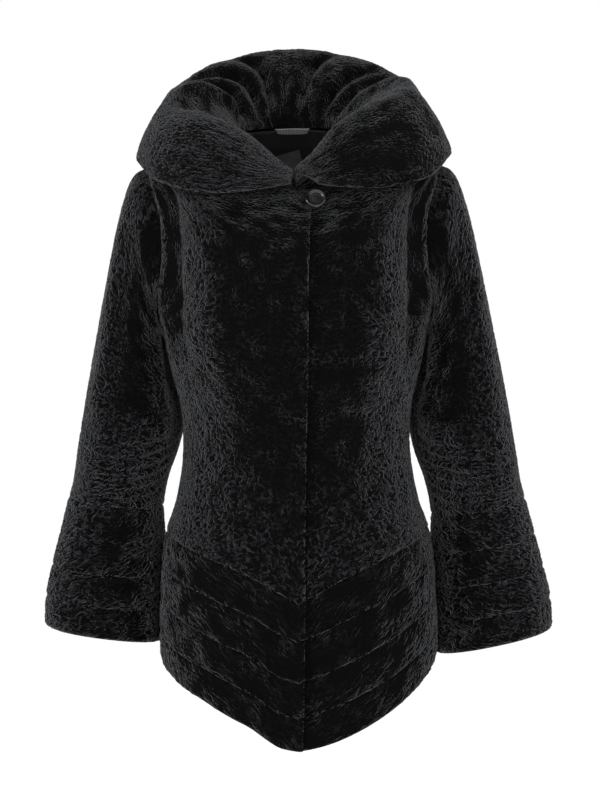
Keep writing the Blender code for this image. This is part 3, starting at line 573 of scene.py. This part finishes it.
def cloth(name, form, pile, finish, tube=False, lining=None, wall=WALL, nip=(), free=(), size=None):
    """form(u, v, lift) gives places; pile(u, v) the curls' height in metres. nip and free name the edges that
    are sewn and that are open: left, right, top and bottom. Without a lining, both sides have pile."""
    width, length = size or size_of(form)
    cell = CELL if lining else CELL_BOTH_SIDES
    bm = flat_wall(max(2, round(width / cell)), max(2, round(length / cell)), tube, not lining)
    flat = np.array([v.co[:] for v in bm.verts])
    u, v, outer = flat[:, 0], 1 - flat[:, 1], flat[:, 2] > -0.5
    if tube:
        u = u % 1.0
    far = {"left": u * width, "right": (1 - u) * width, "top": v * length, "bottom": (1 - v) * length}
    curl = pile.curl(u, v)
    height = pile(u, v) * curl
    if lining:
        height = np.where(outer, height, 0.0)
    proud = height - PILE_MIDDLE * pile.depth
    lift = np.where(outer, proud, -wall - (0 if lining else proud))
    nip_place = np.stack([u * width, v * length], axis=-1) / (NIP_BREAKS * MM)
    breaks = NIP_MEAN + NIP_SWING * lattice_noise(nip_place, NIP_SEED)
    for edge in nip:
        closed = np.exp(-((far[edge] / (NIP_WIDTH * MM)) ** 2))
        lift -= np.where(outer, NIP_DEPTH * np.clip(breaks, 0.25, 1) * closed, 0)
    for edge in free:
        rounded = 1 - ease(0, 2 * ROUND_EDGE, far[edge])
        lift += np.where(outer, -ROUND_EDGE, ROUND_EDGE * 0.5) * rounded**2
    for vertex, place in zip(bm.verts, form(u, v, lift)):
        vertex.co = place
    strength = bm.verts.layers.float.new("curl")
    for vertex, value in zip(bm.verts, curl):
        vertex[strength] = value
    if lining:
        inside = {vertex for vertex, out in zip(bm.verts, outer) if not out}
        for face in bm.faces:
            face.material_index = int(all(vertex in inside for vertex in face.verts))
    if bm.calc_volume(signed=True) < 0:
        bmesh.ops.reverse_faces(bm, faces=bm.faces[:])
    mesh = bpy.data.meshes.new(name)
    bm.to_mesh(mesh)
    bm.free()
    lay_grain(mesh, flat, pile)
    if tube:
        sew_tube(mesh)
    mesh.materials.append(finish)
    if lining:
        mesh.materials.append(lining)
    mesh.shade_smooth()
    piece = bpy.data.objects.new(name, mesh)
    bpy.context.scene.collection.objects.link(piece)
    piece["flat_size"] = (width, length)
    piece["flat_area"] = area_of(form)
    return piece

# %% [markdown]
# Each piece is cut from its own place on a skin, with its own lean, and its wool isn't equally tight all
# over. A small class keeps these together, and gives the height, the place along the grain and the
# tightness anywhere.

# %% The pile of one piece
EVEN_CURL = 0.8
CURL_SWING = 0.5
CURL_LEAST = 0.12


class Pile:
    """The curls of one pelt: where its grain starts, which way it leans and how deep it is."""

    def __init__(self, grain, width, length, start, lean=0.0, crosswise=False, strength=None):
        self.grain, self.width, self.length, self.start = grain, width, length, start
        self.lean, self.crosswise, self.strength = lean, crosswise, strength
        self.depth = GRAIN[grain]["height"] * MM

    def curl(self, u, v):
        """How tightly the wool curls here, up to 1: by the piece's own rule, and always in soft patches."""
        spot = np.stack([u * self.width, v * self.length], axis=-1) / (BEND_PATCH * MM) + self.start
        even = self.strength(u, v) if self.strength else EVEN_CURL
        patches = CURL_SWING * lattice_noise(spot, GRAIN[self.grain]["seed"] + 8)
        return np.clip(even + patches, CURL_LEAST, 1)

    def place(self, u, v):
        across, along = (u - 0.5) * self.width / MM, v * self.length / MM
        if self.crosswise:
            across, along = along, across
        return combed(across + self.start, along + self.start * 1.7, self.grain, self.lean)

    def __call__(self, u, v):
        return curls(self.place(u, v), self.grain) * self.depth


print("pelt wall", WALL / MM, "mm, smallest cell", round(CELL / MM / (FINE_CUTS + 1), 1), "mm")

# %% [markdown]
# A material is a small network of nodes. One function adds a node with its settings and links, and one
# turns the hex colours that a painter would pick into the linear numbers that the renderer wants.

# %% Node and colour helpers
def linear(code):
    """A hex sRGB colour as linear red, green, blue and alpha."""
    values = [int(code[i : i + 2], 16) / 255 for i in (1, 3, 5)]
    return [v / 12.92 if v <= 0.04045 else ((v + 0.055) / 1.055) ** 2.4 for v in values] + [1.0]


def add_node(tree, kind, settings=None, links=None, stops=None, **sockets):
    """Adds a node. settings are its own properties, links are (input, output) pairs, stops are the places and
    colours of a ramp, and sockets are input values."""
    node = tree.nodes.new(kind)
    for key, value in (settings or {}).items():
        setattr(node, key, value)
    for key, value in sockets.items():
        node.inputs[key.replace("_", " ")].default_value = value
    for key, output in (links or {}).items():
        tree.links.new(node.inputs[key], output)
    if stops:
        elements = node.color_ramp.elements
        for element, (position, code) in zip(elements, (stops[0], stops[-1])):
            element.position, element.color = position, linear(code)
        for position, code in stops[1:-1]:
            elements.new(position).color = linear(code)
    return node


def new_material(name):
    made = bpy.data.materials.new(name)
    made.use_nodes = True
    return made, made.node_tree, made.node_tree.nodes["Principled BSDF"]


print("the darkest wool is", [round(value, 4) for value in linear("#080809")[:3]], "in linear numbers")

# %% [markdown]
# Black shearling is lambskin, tanned, clipped and dyed. It drinks in light where it faces you and glows
# where it turns away, because you then look along thousands of fibre tips. A narrow sheen on a nearly black
# base gives that. The colour runs from black at the roots of the curls to grey at their tips. Part of that is
# the wool's own greyer tips, and part is painted shade in the hollows between the curls and painted highlight
# on their crests. Each curl is a bump that tilts the wool, so it draws a short bright line on its turned
# side, and a finer bump breaks that line into single locks.

# %% Shearling material
LOCK_SIZE = 1.1 * MM
CURLS_A_STEP = 1.25
SHEEN = 0.37
SHEEN_ROUGHNESS = 0.17
CURL_BUMP = 2.2 * MM
FLANK_CURL_BUMP = 2.4 * MM
# Painted shade at the roots and painted highlight at the tips, on top of the wool's own greyer tips.
SHADED_ROOT_AND_LIT_GREY_TIP = ((0.1, "#080809"), (0.6, "#131314"), (1.0, "#29292c"))


def shearling_material(name, curl_depth):
    made, tree, shader = new_material(name)
    place = add_node(tree, "ShaderNodeTexCoord")
    grain = add_node(tree, "ShaderNodeUVMap", {"uv_map": "grain"})
    waves = add_node(
        tree,
        "ShaderNodeTexNoise",
        {"noise_dimensions": "2D"},
        {"Vector": grain.outputs["UV"]},
        Scale=CURLS_A_STEP,
        Detail=2.0,
        Roughness=0.6,
        Distortion=0.7,
    )
    ridge = add_node(
        tree, "ShaderNodeMapRange", links={"Value": waves.outputs["Fac"]}, From_Min=0.38, From_Max=0.62
    )
    strength = add_node(tree, "ShaderNodeAttribute", {"attribute_name": "curl"})
    relief = add_node(
        tree,
        "ShaderNodeMath",
        {"operation": "MULTIPLY"},
        {0: ridge.outputs["Result"], 1: strength.outputs["Fac"]},
    )
    # The colour follows the curls' height: painted shade in their hollows and painted highlight on their
    # crests, as well as the wool's own greyer tips.
    grey_tips_and_shade = add_node(tree, "ShaderNodeValToRGB", links={"Fac": relief.outputs[0]}, stops=SHADED_ROOT_AND_LIT_GREY_TIP)
    patches = add_node(
        tree, "ShaderNodeTexNoise", links={"Vector": place.outputs["Object"]}, Scale=1 / (60 * MM), Detail=3.0
    )
    patchy = add_node(
        tree,
        "ShaderNodeMapRange",
        links={"Value": patches.outputs["Fac"]},
        From_Min=0.3,
        From_Max=0.7,
        To_Min=0.46,
        To_Max=0.66,
    )
    locks = add_node(
        tree,
        "ShaderNodeTexNoise",
        links={"Vector": place.outputs["Object"]},
        Scale=1 / (LOCK_SIZE * 2),
        Detail=3.0,
        Roughness=0.65,
    )
    fine = add_node(
        tree, "ShaderNodeBump", links={"Height": locks.outputs["Fac"]}, Strength=0.5, Distance=0.8 * MM
    )
    bump = add_node(
        tree,
        "ShaderNodeBump",
        links={"Height": relief.outputs[0], "Normal": fine.outputs["Normal"]},
        Strength=1.0,
        Distance=curl_depth,
    )
    tree.links.new(shader.inputs["Base Color"], grey_tips_and_shade.outputs["Color"])
    tree.links.new(shader.inputs["Roughness"], patchy.outputs["Result"])
    tree.links.new(shader.inputs["Normal"], bump.outputs["Normal"])
    shader.inputs["Specular IOR Level"].default_value = 0.02
    shader.inputs["Sheen Weight"].default_value = SHEEN
    shader.inputs["Sheen Roughness"].default_value = SHEEN_ROUGHNESS
    shader.inputs["Sheen Tint"].default_value = linear("#eef0f4")
    return made


shearling = shearling_material("black_curly_shearling", CURL_BUMP)
flank_shearling = shearling_material("black_flank_shearling", FLANK_CURL_BUMP)
print("made", shearling.name, flank_shearling.name)

# %% [markdown]
# The lining is satin: long floats of thread, all one way, which give a soft broad gloss and faint lines.
# The loop and the patch are woven tape, greyer and flatter. The button is turned and polished horn, glossy
# with a faint cloudy figure. Horn has an IOR of about 1.54, and the polish is a thin clear coat.

# %% Satin, tape and horn
SATIN_THREAD = 0.35 * MM
SHOWN_THREADS = 3
HORN_CLOUD = 9 * MM


def woven_material(name, dark, light, thread, roughness, gloss):
    made, tree, shader = new_material(name)
    place = add_node(tree, "ShaderNodeTexCoord")
    # The thread is drawn three times as coarse as it is, because it would not show otherwise. The wave's own
    # scale counts radians, so one thread is one turn of 6.3.
    lines = add_node(
        tree,
        "ShaderNodeTexWave",
        {"bands_direction": "X"},
        {"Vector": place.outputs["Object"]},
        Scale=1 / (thread * SHOWN_THREADS * 6.3),
        Distortion=1.5,
        Detail=2.0,
    )
    cloud = add_node(
        tree, "ShaderNodeTexNoise", links={"Vector": place.outputs["Object"]}, Scale=60.0, Detail=3.0
    )
    mixed = add_node(
        tree, "ShaderNodeMath", {"operation": "MULTIPLY"}, {0: lines.outputs["Fac"], 1: cloud.outputs["Fac"]}
    )
    shades = ((0.05, dark), (0.7, light))
    colour = add_node(tree, "ShaderNodeValToRGB", links={"Fac": mixed.outputs[0]}, stops=shades)
    bump = add_node(
        tree, "ShaderNodeBump", links={"Height": lines.outputs["Fac"]}, Strength=0.25, Distance=0.1 * MM
    )
    tree.links.new(shader.inputs["Base Color"], colour.outputs["Color"])
    tree.links.new(shader.inputs["Normal"], bump.outputs["Normal"])
    shader.inputs["Roughness"].default_value = roughness
    shader.inputs["Specular IOR Level"].default_value = gloss
    return made


def horn_material():
    made, tree, shader = new_material("polished_black_horn")
    place = add_node(tree, "ShaderNodeTexCoord")
    cloud = add_node(
        tree,
        "ShaderNodeTexNoise",
        links={"Vector": place.outputs["Object"]},
        Scale=1 / HORN_CLOUD,
        Detail=4.0,
        Distortion=0.8,
    )
    shades = ((0.35, "#0b0b0c"), (0.65, "#1d1c1c"))
    colour = add_node(tree, "ShaderNodeValToRGB", links={"Fac": cloud.outputs["Fac"]}, stops=shades)
    tree.links.new(shader.inputs["Base Color"], colour.outputs["Color"])
    shader.inputs["Roughness"].default_value = 0.22
    shader.inputs["IOR"].default_value = 1.54
    shader.inputs["Coat Weight"].default_value = 0.4
    shader.inputs["Coat Roughness"].default_value = 0.12
    return made


satin = woven_material("black_lining_satin", "#101012", "#1e1e21", SATIN_THREAD, 0.48, 0.35)
tape = woven_material("grey_satin_tape", "#6c6c6e", "#a5a5a6", SATIN_THREAD, 0.5, 0.4)
patch_cloth = woven_material("grey_woven_patch", "#3c3c3e", "#5c5c60", SATIN_THREAD, 0.6, 0.3)
horn = horn_material()
print("made", satin.name, tape.name, patch_cloth.name, horn.name)

# %% [markdown]
# The body panels. A panel's u runs from its front edge to its side and v from the neck to the hip seam.
# Beside the armhole the rows bend to follow its curve. The right front lies on top, so the left one sinks
# beneath it. Each kind of piece starts its grain at a number far from the others, as if it were cut from
# another part of the skin.

# %% Fronts and back
HIP = RINGS["hip seam"]
CORNER_DROP = 0.55
PELT_START = {
    "front_right": 10,
    "front_left": 400,
    "back": 800,
    "hip": 1200,
    "sleeve": 2000,
    "cuff": 2600,
    "collar": 3100,
}
BUST_SLOPE = ((0.30, 0.42), (0.56, 0.61))
ARMHOLE_CALM_AND_SHADE = ((0.57, 0.61), (0.76, 0.80))


def side_ring(v):
    """Ring numbers down a panel's side: evenly, but by angle beside the armhole."""
    ring = v * HIP
    part = np.clip((ring - ARMHOLE_TOP) / (ARMHOLE_BOTTOM - ARMHOLE_TOP), 0, 1)
    middle, half = (ARMHOLE_TOP + ARMHOLE_BOTTOM) / 2, (ARMHOLE_BOTTOM - ARMHOLE_TOP) / 2
    inside = (part > 0) & (part < 1)
    bent = np.where(inside, middle - half * np.cos(part * math.pi), ring)
    return bent, np.where(inside, 1 - ARMHOLE_REACH * np.sin(part * math.pi), 1.0)


def front_place(first_turn, u, v):
    """Where on the torso a place of the front lies: its turn and its ring."""
    bent, side = side_ring(v)
    ring = v * HIP + (bent - v * HIP) * u**1.5
    turn = first_turn(ring) + (side - first_turn(ring)) * u
    neck_half_width = TORSO_KEYS[0, TORSO_COLUMNS.index("half_width")] * MM
    past_middle = ease(-2 * MM, 10 * MM, -turn * math.pi / 2 * neck_half_width)
    ring = ring + CORNER_DROP * past_middle * np.clip(1 - ring / 2, 0, 1)
    return first_turn(ring) + (side - first_turn(ring)) * u, ring


def front_form(first_turn, dip, mirror):
    def form(u, v, lift):
        turn, ring = front_place(first_turn, u, v)
        places = torso(turn, ring, lift + (underlap_dip(turn, ring) if dip else 0))
        return right_side(places) if mirror else places

    return form


def back_form(u, v, lift):
    bent, side = side_ring(v)
    ring = v * HIP + (bent - v * HIP) * np.abs(2 * u - 1) ** 1.5
    edge = 2 - side
    return torso(edge + (4 - 2 * edge) * u, ring, lift)

# %% [markdown]
# A finished piece rides on the body, takes the place of its CAD node and says what size it was cut to. A
# piece that isn't a rectangle also gives its area.

# %% Set a piece in place
def dressed(piece, nodes):
    """Sets a finished piece on the body, in place of its CAD nodes."""
    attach(piece, "root")
    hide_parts(*nodes)
    return piece


def panel(name, form, start, nip, free, curl, grain="body", lean=0.0, crosswise=False, node=None):
    width, length = size_of(form)
    pile = Pile(grain, width, length, start, lean, crosswise, curl)
    finish = flank_shearling if grain == "band" else shearling
    piece = cloth(name, form, pile, finish, lining=satin, nip=nip, free=free)
    return dressed(piece, [node or name])

# %% [markdown]
# Where the wool is tight or calm is said by rules on the panel's own places, because the light shows it: a
# calm nap stays dark and a tight one glitters. It is calm beside the armholes, and tight on the slope of the
# bust, at the waist and along the seams. The grey of the tips follows the same rules, so they also paint the
# colour. It is lighter on the slope of the bust, at the waist and along the seams, which is partly painted
# sheen, and darker beside the armholes, which is painted shade.

# %% Curl of the fronts and back, and the panels
def between(value, rise, fall):
    return ease(*rise, value) * (1 - ease(*fall, value))


def front_curl(first_turn):
    """Tight curls on the slope of the bust, at the waist and beside the seams, and a calmer nap between."""

    def curl(u, v):
        turn, ring = front_place(first_turn, u, v)
        bust = between(turn, *BUST_SLOPE)
        waist = ease(4.5, 6.5, ring) * ease(0.30, 0.45, turn)
        edges = ease(0.76, 0.82, turn) + ease(7.6, 9.4, ring)
        seam = ease(0.92, 0.97, u)
        # Besides its calmer bump, the armhole zone keeps dark roots-only colour, which is painted shade. The
        # tight zones' greyer tips are partly painted sheen.
        armhole = between(turn, *ARMHOLE_CALM_AND_SHADE) * (1 - ease(4.5, 6.0, ring)) * (1 - seam)
        return 0.56 - 0.34 * armhole + 0.44 * np.clip(bust + waist + edges + seam, 0, 1) * (1 - armhole)

    return curl


def back_curl(u, v):
    return 0.62 + 0.30 * ease(0.25, 0.45, np.abs(u - 0.5)) + 0 * v


for node, edge_turn, under in (("front_right", over_edge_turn, False), ("front_left", under_edge_turn, True)):
    form = front_form(edge_turn, dip=under, mirror=not under)
    curl = front_curl(edge_turn)
    panel(node + "_pelt", form, PELT_START[node], ("right", "bottom"), ("left",), curl, node=node)
panel("back_pelt", back_form, PELT_START["back"], ("left", "right", "bottom"), (), back_curl, node="back")

# %% [markdown]
# Four bands run round the hips. They are cut crosswise from the flanks, where the curl is larger, so their
# waves run round the body. Their seams are nipped, which draws the lines that follow the pointed hem.

# %% Hip bands
HIP_BAND_STEP = 97
HIP_START = {"right": 155, "left": 124, "back": 124}


def band_form(top, bottom, first_turn, last_turn, dip=False, mirror=False):
    def form(u, v, lift):
        ring = top + (bottom - top) * v
        turn = first_turn(ring) + (last_turn(ring) - first_turn(ring)) * u
        places = torso(turn, ring, lift + (underlap_dip(turn, ring) if dip else 0))
        return right_side(places) if mirror else places

    return form


def constant(value):
    return lambda ring: np.full(np.shape(ring), float(value))


# Tighter towards the side, where the sheen falls. The greyer tips there are partly painted sheen.
def hip_curl(u, v):
    return 0.50 + 0.28 * ease(0.58, 0.80, u) + 0 * v


for count in range(1, 5):
    top, bottom = HIP + count - 1, HIP + count
    sewn = ("top", "bottom") if count < 4 else ("top",)
    hem = () if count < 4 else ("bottom",)
    parts = {
        "right": (band_form(top, bottom, over_edge_turn, constant(1), mirror=True), ("left",)),
        "left": (band_form(top, bottom, under_edge_turn, constant(1), dip=True), ("left",)),
        "back": (band_form(top, bottom, constant(1), constant(3)), ()),
    }
    for place, (form, open_edges) in parts.items():
        sides = ("left", "right") if place == "back" else ("right",)
        panel(
            f"hip_band_{count}_{place}_pelt",
            form,
            PELT_START["hip"] + HIP_BAND_STEP * count + HIP_START[place],
            sewn + sides,
            open_edges + hem,
            back_curl if place == "back" else hip_curl,
            grain="band",
            lean=0.35,
            crosswise=True,
            node=f"hip_band_{count}_{place}",
        )

# %% [markdown]
# The sleeves are tubes. Rows are spaced by real length along the sleeve, because its sections are not
# evenly spaced. Where the arm bends, the pelt is pushed into small creases that hang in bows round the
# forearm, so we add them as a wave along the sleeve that runs lower at the front than at the sides.

# %% Sleeves and cuffs
BEND_PITCH = 0.36
BEND_BOW = 0.30
BEND_DEPTH = 2.0 * MM
SLEEVE_CALM = ((0.68, 0.73), (0.80, 0.88))
CUFF_CALM = ((0.70, 0.76), (0.84, 0.90))
CUFF_BAND_STEP = 83
SIDE_START = {"right": 250, "left": 200}


def even_sections(first, last):
    """Section numbers at even lengths along the sleeve's middle."""
    numbers = np.linspace(first, last, 80)
    middle = sum(plain_sleeve(np.full(80, angle), numbers) for angle in (0, math.pi)) / 2
    lengths = np.concatenate([[0], np.cumsum(np.linalg.norm(np.diff(middle, axis=0), axis=1))])
    return lambda v: np.interp(v * lengths[-1], lengths, numbers)


def bend_creases(angle, section):
    """Small creases round the front of the forearm, each hanging in a shallow bow."""
    from_front = (angle + math.pi / 2) % (2 * math.pi) - math.pi
    count = (section + BEND_BOW * from_front**2) / BEND_PITCH
    reach = between(section, (5.3, 6.0), (7.7, 8.0)) * (1 - ease(0.7, 1.3, np.abs(from_front - 0.1)))
    return BEND_DEPTH * np.cos(2 * math.pi * count) * reach


def sleeve_form(first, last, pose):
    section = even_sections(first, last)

    def form(u, v, lift):
        angle, ring = (u + 0.5) * 2 * math.pi, section(v)
        return pose(sleeve(angle, ring, lift + bend_creases(angle, ring)))

    return form


def ring_size(form):
    line = np.linspace(0, 1, 90)
    round_it = form(line, 0 * line + 0.5, 0 * line)
    down = form(0 * line + 0.75, line, 0 * line)
    return [float(np.linalg.norm(np.diff(points, axis=0), axis=1).sum()) for points in (round_it, down)]


def sleeve_curl(u, v):
    """A calm nap down the front of the upper arm, tight curls on its outer turn and towards the cuff."""
    calm = between(u, *SLEEVE_CALM)
    return 0.52 + 0.70 * np.clip(1 - calm + ease(0.6, 0.8, v), 0, 1)


def cuff_curl(u, v):
    calm = between(u, *CUFF_CALM)
    return 1.2 - 0.5 * calm + 0 * v


for side, pose in (("right", right_arm), ("left", left_arm)):
    form = sleeve_form(0, LAST_SLEEVE_RING, pose)
    width, length = ring_size(form)
    pile = Pile("body", width, length, PELT_START["sleeve"] + SIDE_START[side], strength=sleeve_curl)
    piece = cloth(
        f"sleeve_{side}_pelt",
        form,
        pile,
        shearling,
        tube=True,
        lining=satin,
        nip=("top", "bottom"),
        size=(width, length),
    )
    dressed(piece, [f"sleeve_{side}"])
    for count in range(1, 5):
        form = sleeve_form(LAST_SLEEVE_RING + count - 1, LAST_SLEEVE_RING + count, pose)
        width, length = ring_size(form)
        start = PELT_START["cuff"] + CUFF_BAND_STEP * count + SIDE_START[side]
        pile = Pile("cuff", width, length, start, lean=0.25, crosswise=True, strength=cuff_curl)
        sewn = ("top", "bottom") if count < 4 else ("top",)
        piece = cloth(
            f"cuff_band_{count}_{side}_pelt",
            form,
            pile,
            flank_shearling,
            tube=True,
            lining=satin,
            nip=sewn,
            free=() if count < 4 else ("bottom",),
            size=(width, length),
        )
        dressed(piece, [f"cuff_band_{count}_{side}"])

# %% [markdown]
# The collar carries pile on both sides, because its inner side is rolled out and shows. Its width is given
# along the rim, where it is widest, and the gathers take that width up at the neck.

# %% Collar
def collar_form(u, v, lift):
    first, last = COLLAR_TURNS[0], COLLAR_TURNS[-1]
    return collar(first + (last - first) * u, v, lift + COLLAR_WALL / 2)


# The curl also sets how grey the tips are. So the curly right lobe is painted lighter, partly painted sheen,
# and the smoother left lobe darker, partly painted shade.
def collar_curl(u, v):
    """The right lobe is curly, the left one and the gathers behind the neck are smoother."""
    return 0.52 + 0.44 * (1 - ease(0.22, 0.30, u)) * ease(0.40, 0.50, v) + 0.15 * ease(0.85, 0.95, v)


RIM_LENGTH = 1.02
collar_size = (RIM_LENGTH, size_of(collar_form)[1])
collar_pile = Pile("collar", *collar_size, PELT_START["collar"], strength=collar_curl)
collar_piece = cloth(
    "collar_pelt",
    collar_form,
    collar_pile,
    shearling,
    wall=COLLAR_WALL,
    free=("left", "right", "bottom"),
    size=collar_size,
)
dressed(collar_piece, ["collar"])

# %% [markdown]
# Inside the neck, the lining, the hanger loop and the plain patch keep their CAD shapes, and so does the
# button. Each only takes a finish.

# %% Neck details and button
FINISHES = {"neck_lining": satin, "hanger_loop": tape, "neck_patch": patch_cloth, "button": horn}
for node, finish in FINISHES.items():
    carried = frame["nodes"][node]
    carried.data.materials.clear()
    carried.data.materials.append(finish)
    print(node, "takes", finish.name)

# %% [markdown]
# The stage: a white floor well below the jacket and an even white room, which lights the wool from all
# round and brings out its sheen. Three weak soft lights, left, right and above, only tip the balance:
# strong ones would flatten the difference between the sides that face you and those that turn away.

# %% Floor
FLOOR_RADIUS = 9.0
FLOOR_HEIGHT = -1.15

bm = bmesh.new()
bmesh.ops.create_circle(bm, cap_ends=True, segments=64, radius=FLOOR_RADIUS)
bmesh.ops.translate(bm, vec=(0, 0, FLOOR_HEIGHT), verts=bm.verts[:])
floor_mesh = bpy.data.meshes.new("floor")
bm.to_mesh(floor_mesh)
bm.free()
paper, _, paper_shader = new_material("white_paper_floor")
paper_shader.inputs["Base Color"].default_value = linear("#ffffff")
paper_shader.inputs["Roughness"].default_value = 1.0
paper_shader.inputs["Specular IOR Level"].default_value = 0.0
floor_mesh.materials.append(paper)
floor = bpy.data.objects.new("floor", floor_mesh)
bpy.context.scene.collection.objects.link(floor)
print("floor at", FLOOR_HEIGHT, "m")

# %% Room and lights
TARGET = Vector((0.0052, -0.05, -0.351))
LIGHTS = {
    "left_softbox": ((-2.2, -1.0, 0.5), 0.8, 1.4, 12),
    "right_softbox": ((2.4, -0.4, 0.2), 0.6, 1.4, 5),
    "top_softbox": ((0.0, -0.2, 2.2), 1.2, 1.2, 12),
}

world = bpy.data.worlds.new("white_room")
world.use_nodes = True
world.node_tree.nodes["Background"].inputs["Color"].default_value = (1.0, 1.0, 1.0, 1.0)
world.node_tree.nodes["Background"].inputs["Strength"].default_value = 1.0
bpy.context.scene.world = world

for name, (place, width, height, power) in LIGHTS.items():
    data = bpy.data.lights.new(name, "AREA")
    data.shape = "RECTANGLE"
    data.size, data.size_y, data.energy = width, height, power
    light = bpy.data.objects.new(name, data)
    bpy.context.scene.collection.objects.link(light)
    light.location = place
    light.rotation_euler = (TARGET - light.location).to_track_quat("-Z", "Y").to_euler()

# %% [markdown]
# The camera looks straight at the jacket's middle from four metres, as the photo does. One photo height is
# 1.04 m at that distance, which gives the lens, and the camera is rolled by a little over half a degree.

# %% Camera
DISTANCE = 4.0
PHOTO_HEIGHT = 1.04
ROLL = math.radians(-0.65)

camera_data = bpy.data.cameras.new("camera")
camera_data.lens = 36 * DISTANCE / PHOTO_HEIGHT
camera = bpy.data.objects.new("camera", camera_data)
bpy.context.scene.collection.objects.link(camera)
tilt = Matrix.Rotation(math.radians(90), 4, "X") @ Matrix.Rotation(ROLL, 4, "Z")
camera.matrix_world = Matrix.Translation(TARGET + Vector((0, -DISTANCE, 0))) @ tilt
bpy.context.scene.camera = camera
bpy.context.scene.view_settings.view_transform = "Standard"
print("camera at", [round(v, 3) for v in camera.location])
